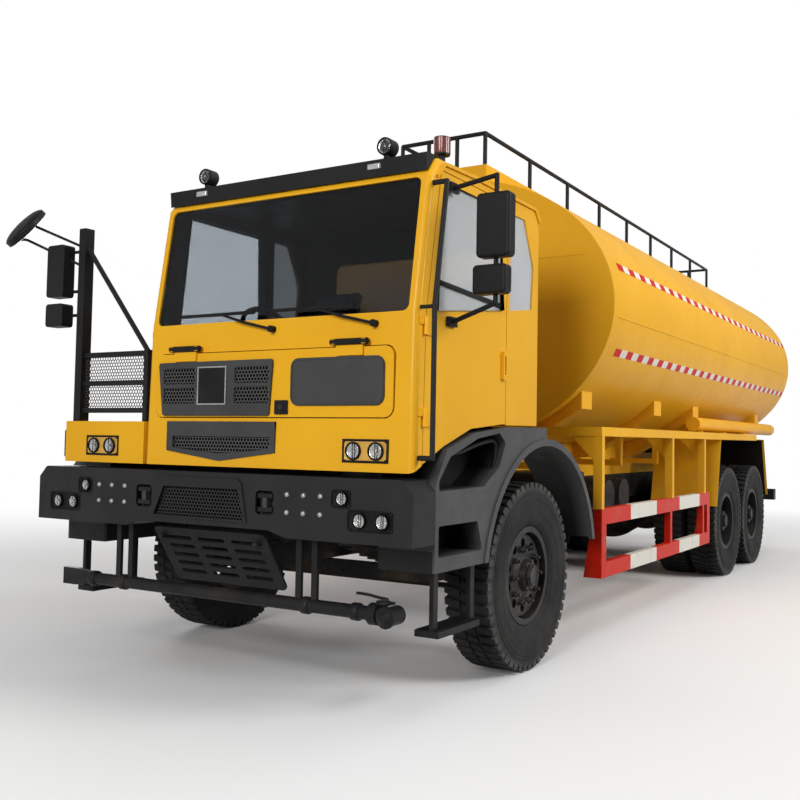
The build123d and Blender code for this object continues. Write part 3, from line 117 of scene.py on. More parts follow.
lamp("key_lamp", (15, 0, 9), (1.5, -1, 2.2), 7, 1950)
lamp("front_lamp", (2.5, -19, 6.5), (0, -4, 2), 6, 1580)
lamp("top_lamp", (4, 2, 14), (0, 0, 2), 9, 300)
lamp("fill_lamp", (-15, 7, 8), (-1.5, 1, 2), 8, 900)

SKY_DIM = 0.24
SKY_LEVELS = {"Is Camera Ray": 1.0, "Is Transmission Ray": 1.0, "Is Glossy Ray": 0.45}
world = bpy.data.worlds.new("studio_sky")
bpy.context.scene.world = world
world.use_nodes = True
sky = world.node_tree
sky.nodes.clear()
path = sky.nodes.new("ShaderNodeLightPath")
background = sky.nodes.new("ShaderNodeBackground")
background.inputs["Color"].default_value = (1, 1, 1, 1)
brightest = SKY_DIM
for ray, level in SKY_LEVELS.items():
    brightest = maths(sky, "MAXIMUM", maths(sky, "MULTIPLY", path.outputs[ray], level), brightest)
sky.links.new(brightest, background.inputs["Strength"])
out = sky.nodes.new("ShaderNodeOutputWorld")
sky.links.new(background.outputs[0], out.inputs["Surface"])
print("studio: four lamps and a white sky")

# %% [markdown]
# ## Finishes
# Every finish starts from the Principled shader, and its colour, roughness and bump come from noise
# on Object coordinates, which are metres in the truck's own frame. Helpers keep each recipe short:
# one adds noise, one turns a value into colours, one turns it into fine relief. A pair of tones is
# always written light first.

# %% helpers for finishes
def finish_start(name, roughness=0.5, metallic=0.0):
    """The node tree, shader and Object coordinates of a new material."""
    mat = bpy.data.materials.new(name)
    mat.use_nodes = True
    tree = mat.node_tree
    shader = tree.nodes["Principled BSDF"]
    shader.inputs["Roughness"].default_value = roughness
    shader.inputs["Metallic"].default_value = metallic
    place = tree.nodes.new("ShaderNodeTexCoord").outputs["Object"]
    return tree, shader, place


def add_noise(tree, place, scale, detail=4.0):
    """Soft noise, 0 to 1; scale counts blobs per metre."""
    node = tree.nodes.new("ShaderNodeTexNoise")
    node.inputs["Scale"].default_value = scale
    node.inputs["Detail"].default_value = detail
    tree.links.new(place, node.inputs["Vector"])
    return node.outputs["Fac"]


def add_ramp(tree, value, stops, blend="LINEAR"):
    """Colours along a value: stops are (position, colour)."""
    node = tree.nodes.new("ShaderNodeValToRGB")
    node.color_ramp.interpolation = blend
    marks = node.color_ramp.elements
    while len(marks) < len(stops):
        marks.new(1.0)
    for mark, (position, colour) in zip(marks, stops):
        mark.position = position
        mark.color = (*colour, 1)
    tree.links.new(value, node.inputs["Fac"])
    return node.outputs["Color"]


def two_tone(tree, place, scale, tones, detail=4.0, high=0.7):
    """A light and a dark tone that wander in soft noise."""
    light, dark = tones
    return add_ramp(tree, add_noise(tree, place, scale, detail), [(0.3, dark), (high, light)])


def add_bump(tree, shader, height, strength, distance):
    """Fine relief from a height value."""
    node = tree.nodes.new("ShaderNodeBump")
    node.inputs["Strength"].default_value = strength
    node.inputs["Distance"].default_value = distance
    tree.links.new(height, node.inputs["Height"])
    tree.links.new(node.outputs["Normal"], shader.inputs["Normal"])


def add_range(tree, value, low, high, to_low=0.0, to_high=1.0):
    """A value from one range to another, clamped."""
    node = tree.nodes.new("ShaderNodeMapRange")
    for name, number in (("From Min", low), ("From Max", high), ("To Min", to_low), ("To Max", to_high)):
        node.inputs[name].default_value = number
    tree.links.new(value, node.inputs["Value"])
    return node.outputs["Result"]


def axis_of(tree, place, axis):
    """One coordinate of a place."""
    node = tree.nodes.new("ShaderNodeSeparateXYZ")
    tree.links.new(place, node.inputs[0])
    return node.outputs[axis]


def mix_colours(tree, factor, first, second):
    """Blend of two colour outputs by a value."""
    node = tree.nodes.new("ShaderNodeMix")
    node.data_type = "RGBA"
    tree.links.new(factor, node.inputs["Factor"])
    tree.links.new(first, node.inputs[6])
    tree.links.new(second, node.inputs[7])
    return node.outputs[2]


def multiply(tree, first, second):
    """Product of two values."""
    return maths(tree, "MULTIPLY", first, second)


def all_hold(tree, mask, tests):
    """A mask kept only where every (value, operation, limit) holds."""
    for value, operation, limit in tests:
        mask = multiply(tree, mask, maths(tree, operation, value, limit))
    return mask


def vary_roughness(tree, shader, noise, lowest, highest, low=0.3, high=0.7):
    """Roughness that follows a noise between two levels."""
    tree.links.new(add_range(tree, noise, low, high, lowest, highest), shader.inputs["Roughness"])


def mottled(name, tones, roughness, metallic=0.0, scale=70.0, coat=0.0):
    """A small smooth part in two close tones."""
    tree, shader, place = finish_start(name, roughness, metallic)
    shader.inputs["Coat Weight"].default_value = coat
    tree.links.new(two_tone(tree, place, scale, tones), shader.inputs["Base Color"])


print("finish helpers ready")

# %% [markdown]
# The yellow is a two-layer gloss paint. Its tone wanders slightly over large panels, the clear coat
# has the faint pebbled relief of sprayed paint, and road dust gathers towards the ground. The same
# recipe gives the dark paint of frame, bars and wheels. Inside the cab the sheet carries grey trim,
# so a mask made from the place of each face puts the trim's tones there. Inside the rear mudguards
# a like mask puts painted shade: their inner faces are painted near black.

# %% cab trim and painted shade by place
CAB_LEFT, CAB_RIGHT, CAB_FRONT, CAB_BACK, CAB_TOP = 1.610, -0.600, -5.535, -3.810, 3.400
SCREEN_FOOT, SCREEN_HEAD, SCREEN_LEAN, BROW_LEAN = 2.42, 3.27, 0.125, 0.095
SKIN, FRONT_SKIN = 0.03, 0.055
MUD_TOP, MUD_EDGE, HALF_SHEET = 1.738, 1.622, 0.003
MUD_FRONT_FOOT, MUD_FRONT_Y = 0.910, (1.340, 1.540)
MUD_REAR_FOOT, MUD_REAR_Y = 0.930, (4.290, 4.020)


def cab_inside(tree, place):
    """1 on the trimmed faces inside the cab's shell, 0 on its outside."""
    x, y, z = (axis_of(tree, place, axis) for axis in "XYZ")
    lean = maths(tree, "ADD", add_range(tree, z, SCREEN_FOOT, SCREEN_HEAD, 0, SCREEN_LEAN),
                 add_range(tree, z, SCREEN_HEAD, CAB_TOP, 0, BROW_LEAN))
    behind = maths(tree, "GREATER_THAN", maths(tree, "SUBTRACT", y, lean), CAB_FRONT + FRONT_SKIN)
    return all_hold(tree, behind, ((x, "LESS_THAN", CAB_LEFT - SKIN), (x, "GREATER_THAN", CAB_RIGHT + SKIN),
                                   (y, "LESS_THAN", CAB_BACK - SKIN), (z, "LESS_THAN", CAB_TOP - SKIN)))


def mud_inside(tree, place):
    """1 on the inner faces of the rear mudguards, where shade is painted; 0 on their rims and outside."""
    x, y, z = (axis_of(tree, place, axis) for axis in "XYZ")
    past_front = maths(tree, "SUBTRACT", y, add_range(tree, z, MUD_FRONT_FOOT, MUD_TOP, *MUD_FRONT_Y))
    before_rear = maths(tree, "SUBTRACT", add_range(tree, z, MUD_REAR_FOOT, MUD_TOP, *MUD_REAR_Y), y)
    below = maths(tree, "LESS_THAN", z, MUD_TOP - HALF_SHEET)
    return all_hold(tree, below, ((past_front, "GREATER_THAN", HALF_SHEET),
                                  (before_rear, "GREATER_THAN", HALF_SHEET),
                                  (maths(tree, "ABSOLUTE", x), "LESS_THAN", MUD_EDGE - SKIN)))


print("lining masks ready")

# %% paints
DUST = (0.23, 0.17, 0.10)
DUST_TONES = (tuple(1.35 * c for c in DUST), DUST)


def gloss_paint(name, tones, roughness, coat, dust_top, dust_most, specular, trim_and_shade=None):
    """Sprayed paint with soft tone changes, pebbled coat and dust below a height in metres."""
    tree, shader, place = finish_start(name, roughness)
    shader.inputs["Coat Weight"].default_value = coat
    shader.inputs["Specular IOR Level"].default_value = specular
    shader.inputs["Coat Roughness"].default_value = 0.12
    low = add_range(tree, axis_of(tree, place, "Z"), dust_top, 0.2, 0.0, dust_most)
    patch = add_range(tree, add_noise(tree, place, 5.0, 8.0), 0.42, 0.72)
    dusty = two_tone(tree, place, 30.0, DUST_TONES, high=0.8)
    colour = mix_colours(tree, multiply(tree, low, patch), two_tone(tree, place, 1.3, tones), dusty)
    # An inside mask puts the cab's trim tones there, and painted shade inside the mudguards.
    if trim_and_shade:
        mask, trim_and_shade_tones = trim_and_shade
        colour = mix_colours(tree, mask(tree, place), colour, two_tone(tree, place, 90.0, trim_and_shade_tones))
    tree.links.new(colour, shader.inputs["Base Color"])
    vary_roughness(tree, shader, add_noise(tree, place, 7.0), roughness - 0.06, roughness + 0.1)
    add_bump(tree, shader, add_noise(tree, place, 260.0, 2.0), 0.05, 0.002)


YELLOW = ((0.83, 0.43, 0.016), (0.77, 0.38, 0.012))
BLACK = ((0.016, 0.016, 0.017), (0.010, 0.010, 0.011))
WHEEL_BLACK = ((0.017, 0.017, 0.018), (0.010, 0.010, 0.011))
CAB_LINING = (cab_inside, ((0.058, 0.059, 0.063), (0.040, 0.041, 0.044)))
# Painted shade: the rear mudguards' inner faces are near black.
MUD_SHADE = (mud_inside, ((0.022, 0.019, 0.016), (0.010, 0.009, 0.008)))
gloss_paint("yellow_paint", YELLOW, 0.42, 0.05, 1.7, 0.5, 0.12)
gloss_paint("sheet_paint", YELLOW, 0.42, 0.05, 1.7, 0.5, 0.12, MUD_SHADE)
gloss_paint("cab_paint", YELLOW, 0.36, 0.10, 1.7, 0.3, 0.15, CAB_LINING)
gloss_paint("frame_paint", BLACK, 0.55, 0.0, 1.6, 0.4, 0.2)
gloss_paint("black_paint", BLACK, 0.45, 0.0, 1.0, 0.12, 0.15)
gloss_paint("wheel_paint", WHEEL_BLACK, 0.42, 0.0, 1.5, 0.10, 0.25)
print("paints made")

# %% [markdown]
# The guards are one welded frame each, painted red with white bands at set stations. A colour ramp
# with hard steps along Y paints the bands on the CAD solid itself, so no extra piece is needed.

# %% banded guard paint
GUARD_BANDS = ((2.098, 2.881), (3.668, 4.450))
GUARD_ENDS = (1.364, 4.900)
RED, OFF_WHITE = (0.56, 0.016, 0.005), (0.70, 0.67, 0.60)


def along(station):
    """Station behind the front axle as a share of the guard's length."""
    return (station - GUARD_ENDS[0]) / (GUARD_ENDS[1] - GUARD_ENDS[0])


tree, shader, place = finish_start("guard_paint", 0.36)
shader.inputs["Specular IOR Level"].default_value = 0.1
share = add_range(tree, axis_of(tree, place, "Y"), AXLE_Y + GUARD_ENDS[0], AXLE_Y + GUARD_ENDS[1])
steps = [(0.0, RED)]
for start, end in GUARD_BANDS:
    steps += [(along(start), OFF_WHITE), (along(end), RED)]
bands = add_ramp(tree, share, steps, "CONSTANT")
grime = two_tone(tree, place, 30.0, DUST_TONES, high=0.8)
speck = add_range(tree, add_noise(tree, place, 9.0, 8.0), 0.52, 0.85, 0.0, 0.35)
tree.links.new(mix_colours(tree, speck, bands, grime), shader.inputs["Base Color"])
add_bump(tree, shader, add_noise(tree, place, 220.0, 2.0), 0.06, 0.002)
print("guard paint with", len(steps), "steps")

# %% [markdown]
# Fenders and bumper are charcoal: moulded plastic and thick textured paint. Both are matt with a
# fine grain, so their relief comes from small noise. Tyre rubber is darker, rougher and dusty. Shade
# is painted near black by place deep in the fenders' arches and pockets, under the bumper and on
# the hung steps, and the worn flanks of the tread get a second tone by place.

# %% painted shade and worn tones by place
FENDER_SKIN, FENDER_FRONT, FENDER_FOOT, NOSE_TOP = 1.640, AXLE_Y - 1.480, 0.872, 1.0
FLANK, WORN_FROM, WORN_FULL, RUN_FACE = 1.555, 0.605, 0.650, 0.679


def fender_painted_shade(tree, place):
    """1 where shade is painted: deep in the arch and pockets, under the bumper, on the hung steps; 0 on the
    skin.
    """
    x, y, z = (axis_of(tree, place, axis) for axis in "XYZ")
    across = maths(tree, "ABSOLUTE", x)
    deep = add_range(tree, across, FENDER_SKIN - 0.025, FENDER_SKIN - 0.14)
    deep = all_hold(tree, deep, [(y, "GREATER_THAN", FENDER_FRONT + 0.02)])
    nose = maths(tree, "LESS_THAN", y, FENDER_FRONT + 0.003)
    nose = all_hold(tree, nose, ((z, "LESS_THAN", NOSE_TOP), (across, "LESS_THAN", FENDER_SKIN - 0.015)))
    under = maths(tree, "MAXIMUM", nose, maths(tree, "LESS_THAN", z, FENDER_FOOT))
    return maths(tree, "MAXIMUM", deep, under)


def tyre_shoulder(tree, place):
    """1 in patches on the worn flanks of the tread blocks, 0 on side walls and running faces."""
    rise = maths(tree, "SUBTRACT", axis_of(tree, place, "Z"), TYRE_R)
    reach = None
    for axle in AXLES.values():
        away = maths(tree, "SUBTRACT", axis_of(tree, place, "Y"), axle)
        far = maths(tree, "SQRT", maths(tree, "ADD", multiply(tree, away, away), multiply(tree, rise, rise)))
        reach = maths(tree, "MINIMUM", reach, far) if reach else far
    across = maths(tree, "ABSOLUTE", axis_of(tree, place, "X"))
    worn = all_hold(tree, add_range(tree, reach, WORN_FROM, WORN_FULL),
                    ((reach, "LESS_THAN", RUN_FACE), (across, "GREATER_THAN", FLANK)))
    return multiply(tree, worn, add_range(tree, add_noise(tree, place, 22.0, 5.0), 0.25, 0.60, 0.25, 1.0))


print("second tones ready")

# %% grained plastics and rubber
def grained(name, tones, roughness, grain, strength, distance=0.004, specular=0.25, second=None):
    """Matt moulded surface with a fine grain per metre; a second pair of tones can go on by a mask."""
    tree, shader, place = finish_start(name, roughness)
    shader.inputs["Specular IOR Level"].default_value = specular
    tone = two_tone(tree, place, 3.0, tones, 6.0)
    if second:
        mask, others = second
        tone = mix_colours(tree, mask(tree, place), tone, two_tone(tree, place, 5.0, others, 6.0))
    tree.links.new(tone, shader.inputs["Base Color"])
    vary_roughness(tree, shader, add_noise(tree, place, 11.0), roughness - 0.08, roughness + 0.08)
    add_bump(tree, shader, add_noise(tree, place, grain, 3.0), strength, distance)


# Painted shade: near black tones deep in the fenders, under the bumper and on the hung steps.
FENDER_SHADE = (fender_painted_shade, ((0.009, 0.009, 0.009), (0.005, 0.005, 0.005)))
WORN = (tyre_shoulder, ((0.105, 0.103, 0.100), (0.050, 0.049, 0.048)))
grained("charcoal", ((0.019, 0.019, 0.020), (0.012, 0.012, 0.013)), 0.5, 420.0, 0.25, specular=0.2)
grained("fender_grey", ((0.074, 0.074, 0.075), (0.054, 0.054, 0.055)), 0.45, 420.0, 0.2, specular=0.2,
        second=FENDER_SHADE)
grained("bezel_grey", ((0.052, 0.052, 0.054), (0.038, 0.038, 0.040)), 0.5, 420.0, 0.2)
grained("black_plastic", ((0.012, 0.012, 0.013), (0.007, 0.007, 0.008)), 0.45, 500.0, 0.2, specular=0.12)
grained("mesh_black", ((0.042, 0.042, 0.043), (0.033, 0.033, 0.034)), 0.5, 300.0, 0.15)
grained("mesh_grey", ((0.100, 0.100, 0.099), (0.084, 0.084, 0.083)), 0.5, 300.0, 0.15)
# Painted shade: near black for the hollows behind the grilles.
grained("dark_shade_plate", ((0.004, 0.004, 0.004), (0.002, 0.002, 0.002)), 0.8, 300.0, 0.15, specular=0.05)
grained("dash_plastic", ((0.060, 0.060, 0.063), (0.040, 0.040, 0.043)), 0.6, 350.0, 0.3)
grained("tyre_rubber", ((0.030, 0.029, 0.028), (0.012, 0.012, 0.012)), 0.8, 160.0, 0.35, 0.006, 0.2, WORN)
print("plastics and rubber made")

# %% [markdown]
# Panes are real sheets with two faces, so they refract as glass. The windscreen is tinted far darker
# than the side panes, which paints the shade of the cab behind it into the glass, so the tint is a
# step along Y. The side panes carry a pale milky layer, a painted reflection, and a trace of grease
# on the surface varies the roughness a little.

# %% glass and bright metal
SIDE_SHARE = 0.23


def pane_glass(name, stops, ior=1.45, painted_reflection=0.0):
    """Glass with two faces; its tint goes by stops along Y; side panes carry a pale layer, a painted
    reflection.
    """
    tree, shader, place = finish_start(name, 0.0)
    shader.inputs["IOR"].default_value = ior
    share = add_range(tree, axis_of(tree, place, "Y"), -6.0, -3.0)
    tree.links.new(add_ramp(tree, share, stops, "CONSTANT"), shader.inputs["Base Color"])
    # The pale layer on the side panes is a painted reflection.
    behind = maths(tree, "GREATER_THAN", share, SIDE_SHARE)
    tree.links.new(add_range(tree, behind, 0, 1, 1, 1 - painted_reflection), shader.inputs["Transmission Weight"])
    vary_roughness(tree, shader, add_noise(tree, place, 4.0, 6.0), 0.0, 0.004, 0.35, 0.8)


# The windscreen's dark tint paints the shade of the cab behind it.
SCREEN_SHADE_TINT, SIDE_TINT = (0.20, 0.22, 0.24), (0.86, 0.89, 0.90)
DOOR_TINT, CLEAR = (0.84, 0.88, 0.89), (0.90, 0.91, 0.91)
pane_glass("window_glass", [(0.0, SCREEN_SHADE_TINT), (SIDE_SHARE, SIDE_TINT)], 1.30, 0.4)
pane_glass("door_glass", [(0.0, SIDE_TINT), (0.5, DOOR_TINT)], 1.8, 0.4)
pane_glass("lens_glass", [(0.0, CLEAR), (0.5, CLEAR)])
mottled("bright_metal", ((0.78, 0.78, 0.79), (0.60, 0.60, 0.61)), 0.16, 1.0, 40.0)
mottled("mirror_face", ((0.86, 0.87, 0.88), (0.80, 0.82, 0.83)), 0.03, 1.0, 6.0)
print("glass and metal made")

# %% [markdown]
# Each CAD node gets its finish by a table of finish to nodes. The node's mesh stays as it is: only
# the material in its slots changes.

# %% finishes onto the CAD nodes
DRESS = {
    "cab_paint": "cab_back cab_front cab_roof cab_side_left cab_side_right door_left door_right",
    "yellow_paint": "hatch_panel right_deck tank tank_coaming tank_saddles manhole_lid",
    "sheet_paint": "side_frames",
    "charcoal": "bumper skid_panel",
    "fender_grey": "front_fenders",
    "black_paint": "deck_guard tank_rails ladder rear_bumper spray_bar visor",
    "black_plastic": "mirror_left hatch_grille wipers",
    "mesh_black": "front_mesh guard_mesh",
    "frame_paint": "chassis_frame front_axle rear_axles leaf_springs powertrain knuckle_left knuckle_right "
                   "tie_rod service_boxes",
    "wheel_paint": " ".join(n for n in nodes if n.startswith("wheel_")),
    "tyre_rubber": " ".join(n for n in nodes if n.startswith("tyre_")),
    "dash_plastic": "dashboard cab_floor seats",
    "window_glass": "cab_glass",
    "door_glass": "door_glass_left door_glass_right",
    "guard_paint": "side_guards",
    "bright_metal": "front_lamps",
}
dressed = set()
for finish, names in DRESS.items():
    for name in names.split():
        for place_in_slots in nodes[name].material_slots:
            place_in_slots.material = bpy.data.materials[finish]
        dressed.add(name)
print(len(dressed), "nodes dressed, left plain:", sorted(set(nodes) - dressed))

# %% [markdown]
# ## Tools for modelling
# Each new piece starts as a primitive at its size and place, opened in edit mode. An operator works
# on everything selected, and the loaded frame is still selected, so every start clears the selection
# first. Faces are then picked in code by their middle and normal, as one would click them by hand.

# %% selecting and starting
AXIS_TURN = {"X": (0, math.pi / 2, 0), "Y": (math.pi / 2, 0, 0), "Z": (0, 0, 0)}


def close_edit():
    """Back to object mode."""
    bpy.ops.object.mode_set(mode="OBJECT")


def fresh():
    """Object mode with nothing selected."""
    if bpy.context.object and bpy.context.object.mode != "OBJECT":
        close_edit()
    bpy.ops.object.select_all(action="DESELECT")


def take(piece):
    """Make one object the selected and active one."""
    fresh()
    piece.select_set(True)
    bpy.context.view_layer.objects.active = piece


def open_edit(name):
    """Name the new primitive, settle its place in its mesh and open it."""
    piece = bpy.context.object
    piece.name = name
    bpy.ops.object.transform_apply(location=True, rotation=True, scale=True)
    bpy.ops.object.mode_set(mode="EDIT")
    return piece


def block_start(name, low, high):
    """A cube between two corners, open for editing."""
    fresh()
    low, high = Vector(low), Vector(high)
    bpy.ops.mesh.primitive_cube_add(size=1, location=(low + high) / 2)
    bpy.context.object.scale = high - low
    return open_edit(name)


def slab_start(name, x, z, half_x, half_z, front, rear):
    """A cube about a point of X and Z, between two Y stations, open for editing."""
    return block_start(name, (x - half_x, front, z - half_z), (x + half_x, rear, z + half_z))


def drum_start(name, centre, axis, radius, depth, sides=32):
    """A cylinder along an axis, open for editing; along Y its cap looks to the front."""
    fresh()
    bpy.ops.mesh.primitive_cylinder_add(vertices=sides, radius=radius, depth=depth, location=centre,
                                        rotation=AXIS_TURN[axis])
    return open_edit(name)


def select_all():
    """In edit mode: everything selected."""
    bpy.ops.mesh.select_all(action="SELECT")


def disc_on(name, points, fill="NGON"):
    """A disc whose rim is put on given points, open and selected all over."""
    fresh()
    bpy.ops.mesh.primitive_circle_add(vertices=len(points), radius=0.1, fill_type=fill)
    disc = open_edit(name)
    mesh = bmesh.from_edit_mesh(disc.data)
    for vertex, point in zip(mesh.verts, points):
        vertex.co = point
    bmesh.update_edit_mesh(disc.data)
    select_all()
    return disc


def choose(piece, test, kind="faces"):
    """Select the faces or edges whose middle, and a face's normal, pass a test."""
    bpy.context.tool_settings.mesh_select_mode = (False, kind == "edges", kind == "faces")
    bpy.ops.mesh.select_all(action="DESELECT")
    mesh = bmesh.from_edit_mesh(piece.data)
    for item in getattr(mesh, kind):
        if kind == "faces":
            item.select_set(bool(test(item.calc_center_median(), item.normal)))
        elif test((item.verts[0].co + item.verts[1].co) / 2, item):
            item.select_set(True)
    mesh.select_flush_mode()
    bmesh.update_edit_mesh(piece.data)


def choose_side(piece, side):
    """Select the flat faces that look along an axis: "+X" or "-X", or "X" for both ends."""
    axis = "XYZ".index(side[-1])
    sign = {"+": 1, "-": -1}.get(side[0], 0)
    choose(piece, lambda middle, normal: (sign * normal[axis] if sign else abs(normal[axis])) > 0.9)


def choose_long(piece, axis, length):
    """Select the edges that run further than a length along an axis."""
    choose(piece, lambda middle, edge: abs(edge.verts[0].co[axis] - edge.verts[1].co[axis]) > length, "edges")


print("tools for starting a piece ready")


def extrude(move):
    """Extrude what is selected along a vector."""
    bpy.ops.mesh.extrude_region_move(TRANSFORM_OT_translate={"value": tuple(move)})


def tidy_normals():
    """In edit mode: merge doubles and turn every face outwards."""
    select_all()
    bpy.ops.mesh.remove_doubles(threshold=0.00005)
    bpy.ops.mesh.normals_make_consistent(inside=False)


def round_edges(width, segments=2, angle=35):
    """Bevel the sharp edges of the open piece through a modifier, applied."""
    close_edit()
    piece = bpy.context.object
    bevel = piece.modifiers.new("rounded", "BEVEL")
    bevel.width = width
    bevel.segments = segments
    bevel.limit_method = "ANGLE"
    bevel.angle_limit = math.radians(angle)
    bpy.ops.object.modifier_apply(modifier="rounded")


def shaped(piece, side, steps, rounding=0.0, walls=False, segments=2):
    """Inset a side of an open piece and move it outwards, step by step, and close the piece.

    With walls the inset faces are extruded, so that the steps are square; a negative step sinks in."""
    choose_side(piece, side)
    outwards = Vector([(-1 if side[0] == "-" else 1) * (axis == side[1]) for axis in "XYZ"])
    for width, rise in steps:
        bpy.ops.mesh.inset(thickness=width)
        if walls:
            extrude(outwards * rise)
        else:
            bpy.ops.transform.translate(value=outwards * rise)
    if rounding:
        round_edges(rounding, segments)
    else:
        close_edit()
    return piece


def apply_on(piece, kind, **settings):
    """Add a modifier with its settings and apply it."""
    take(piece)
    step = piece.modifiers.new("step", kind)
    for name, value in settings.items():
        setattr(step, name, value)
    bpy.ops.object.modifier_apply(modifier="step")


def repeat(piece, offset, count, **settings):
    """Copies of a mesh in a row, by an Array modifier."""
    apply_on(piece, "ARRAY", use_relative_offset=False, use_constant_offset=True,
             constant_offset_displace=offset, count=count, **settings)


def copy_of(piece, name, move=Matrix()):
    """A copy with a mesh of its own, moved in its mesh."""
    twin = piece.copy()
    twin.data = piece.data.copy()
    twin.name = name
    bpy.context.collection.objects.link(twin)
    twin.data.transform(move)
    return twin


def join_all(pieces, name):
    """Several meshes as one piece."""
    take(pieces[0])
    for piece in pieces[1:]:
        piece.select_set(True)
    if len(pieces) > 1:
        bpy.ops.object.join()
    pieces[0].name = name
    return pieces[0]


def discard(*patterns):
    """Remove patterns whose copies are in place."""
    for pattern in patterns:
        bpy.data.objects.remove(pattern)


def ring_of(piece, count):
    """Repeat a mesh round the X axis by an Array modifier turned by an empty."""
    turner = bpy.data.objects.new("turner", None)
    bpy.context.collection.objects.link(turner)
    turner.rotation_euler = (2 * math.pi / count, 0, 0)
    bpy.context.view_layer.update()
    apply_on(piece, "ARRAY", use_relative_offset=False, use_object_offset=True, offset_object=turner,
             count=count)
    discard(turner)
    return piece


def close_piece(piece, finish, body="chassis", smooth=35):
    """Shade, paint and mount a finished piece on a body."""
    take(piece)
    bpy.ops.object.shade_smooth_by_angle(angle=math.radians(smooth))
    piece.data.materials.clear()
    piece.data.materials.append(bpy.data.materials[finish])
    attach(piece, body)
    return piece


print("tools for shaping and finishing ready")

# %% [markdown]
# ## Tyres
# The CAD tyre is a smooth revolved ring. A real off-road tyre has a carcass with ribs on its wall,
# two rows of chunky shoulder lugs that reach down the wall, and blocks between them. The carcass is
# a circle whose points are put on the section and spun round the axle. One lug is a cube, extruded
# over the shoulder and bevelled, and an Array turns it round the axle. The tyre is made once at the
# origin and copied to each wheel.

# %% carcass section and spin
WALL_SECTION = [(0.1275, 0.3306), (0.1300, 0.358), (0.1430, 0.366), (0.1560, 0.385), (0.1600, 0.397),
                (0.1640, 0.399), (0.1730, 0.440), (0.1775, 0.470), (0.1800, 0.472), (0.1812, 0.482),
                (0.1796, 0.485), (0.1830, 0.520), (0.1838, 0.552), (0.1868, 0.555), (0.1872, 0.572),
                (0.1838, 0.576), (0.1815, 0.600), (0.1775, 0.604), (0.1745, 0.622), (0.1690, 0.642),
                (0.1540, 0.658), (0.1000, 0.662), (0.0400, 0.664)]
section = WALL_SECTION + [(-x, r) for x, r in reversed(WALL_SECTION)]
carcass = disc_on("carcass", [(x, 0, r) for x, r in section], "NOTHING")
bpy.ops.mesh.spin(steps=108, angle=2 * math.pi, center=(0, 0, 0), axis=(1, 0, 0))
tidy_normals()
close_edit()
print("carcass with", len(carcass.data.polygons), "faces")

# %% lugs round the tread
LUGS, LUG_FOOT, LUG_TOP = 52, 0.648, 0.6830

lug = block_start("lug", (0.050, -0.027, LUG_FOOT), (0.150, 0.027, LUG_TOP))
choose_side(lug, "+X")
extrude((0.022, 0, -0.004))
choose(lug, lambda middle, normal: normal.z < -0.5 and middle.x > 0.15)
extrude((0.006, 0, -0.030))
choose(lug, lambda middle, normal: normal.x < -0.9 and middle.z > 0.64)
bpy.ops.transform.translate(value=(0, 0.016, 0))
round_edges(0.004, 1)
far_lug = copy_of(lug, "far_lug", Matrix.Rotation(math.pi / LUGS, 4, "X") @ Matrix.Rotation(math.pi, 4, "Z"))
middle_block = block_start("middle_block", (-0.036, -0.024, LUG_FOOT), (0.036, 0.024, LUG_TOP))
for side, slant in (("+X", -0.014), ("-X", 0.014)):
    choose_side(middle_block, side)
    bpy.ops.transform.translate(value=(0, slant, 0))
round_edges(0.003, 1)
tyre = join_all([carcass] + [ring_of(p, LUGS) for p in (lug, far_lug, middle_block)], "tyre_pattern")
print("one tyre:", len(tyre.data.polygons), "faces")

# %% a tyre for every wheel
TRACK, TWIN = 1.410, 0.985

for place_name, y in AXLES.items():
    for side, word in SIDES:
        rows = (TRACK,) if place_name == "front" else (TRACK, TWIN)
        rings = [copy_of(tyre, "ring", Matrix.Translation((side * x, y, TYRE_R))) for x in rows]
        treaded = join_all(rings, f"treaded_{place_name}_{word}")
        close_piece(treaded, "tyre_rubber", f"wheelset_{place_name}_{word}", 30)
        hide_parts(f"tyre_{place_name}_{word}")
discard(tyre)
print("tyres on", len(AXLES) * 2, "wheels")

# %% [markdown]
# ## Wheel nuts and hub caps
# Ten long nuts hold each wheel on a ring, and a flanged cap closes the hub. The nut is a six-sided
# drum whose end face is inset and drawn out into the stud; its foot is widened into the washer.

# %% nuts and caps
NUTS, NUT_RING, CAP_BOLTS = 10, 0.200, 8
nut = drum_start("nut", (0, 0, NUT_RING), "X", 0.023, 0.034, 6)
choose_side(nut, "-X")
extrude((-0.008, 0, 0))
bpy.ops.transform.resize(value=(1, 1.35, 1.35), center_override=(0, 0, NUT_RING))
ring_of(shaped(nut, "+X", [(0.008, 0.022)], 0.002, True, 1), NUTS)
cap = drum_start("cap", (0, 0, 0), "X", 0.082, 0.024, 40)
shaped(cap, "+X", [(0.010, 0.014), (0.012, -0.006)], 0.003, True)
bolt = drum_start("bolt", (0.004, 0, 0.099), "X", 0.008, 0.016, 6)
ring_of(shaped(bolt, "+X", [(0.002, 0.002)], 0.001, segments=1), CAP_BOLTS)
between = Matrix.Rotation(math.pi / NUTS, 4, "X")
for place_name, y in AXLES.items():
    face, hub_end = (1.511, 1.572) if place_name == "front" else (1.311, 1.520)
    for side, word in SIDES:
        at = Matrix.Translation((0, y, TYRE_R)) @ Matrix.Rotation(0 if side > 0 else math.pi, 4, "Z")
        parts = [copy_of(nut, "n", at @ Matrix.Translation((face + 0.024, 0, 0)) @ between),
                 copy_of(cap, "c", at @ Matrix.Translation((hub_end + 0.010, 0, 0))),
                 copy_of(bolt, "b", at @ Matrix.Translation((hub_end, 0, 0)))]
        nuts = join_all(parts, f"wheel_nuts_{place_name}_{word}")
        close_piece(nuts, "wheel_paint", f"wheelset_{place_name}_{word}")
discard(nut, cap, bolt)
print("nuts and caps on every wheel")

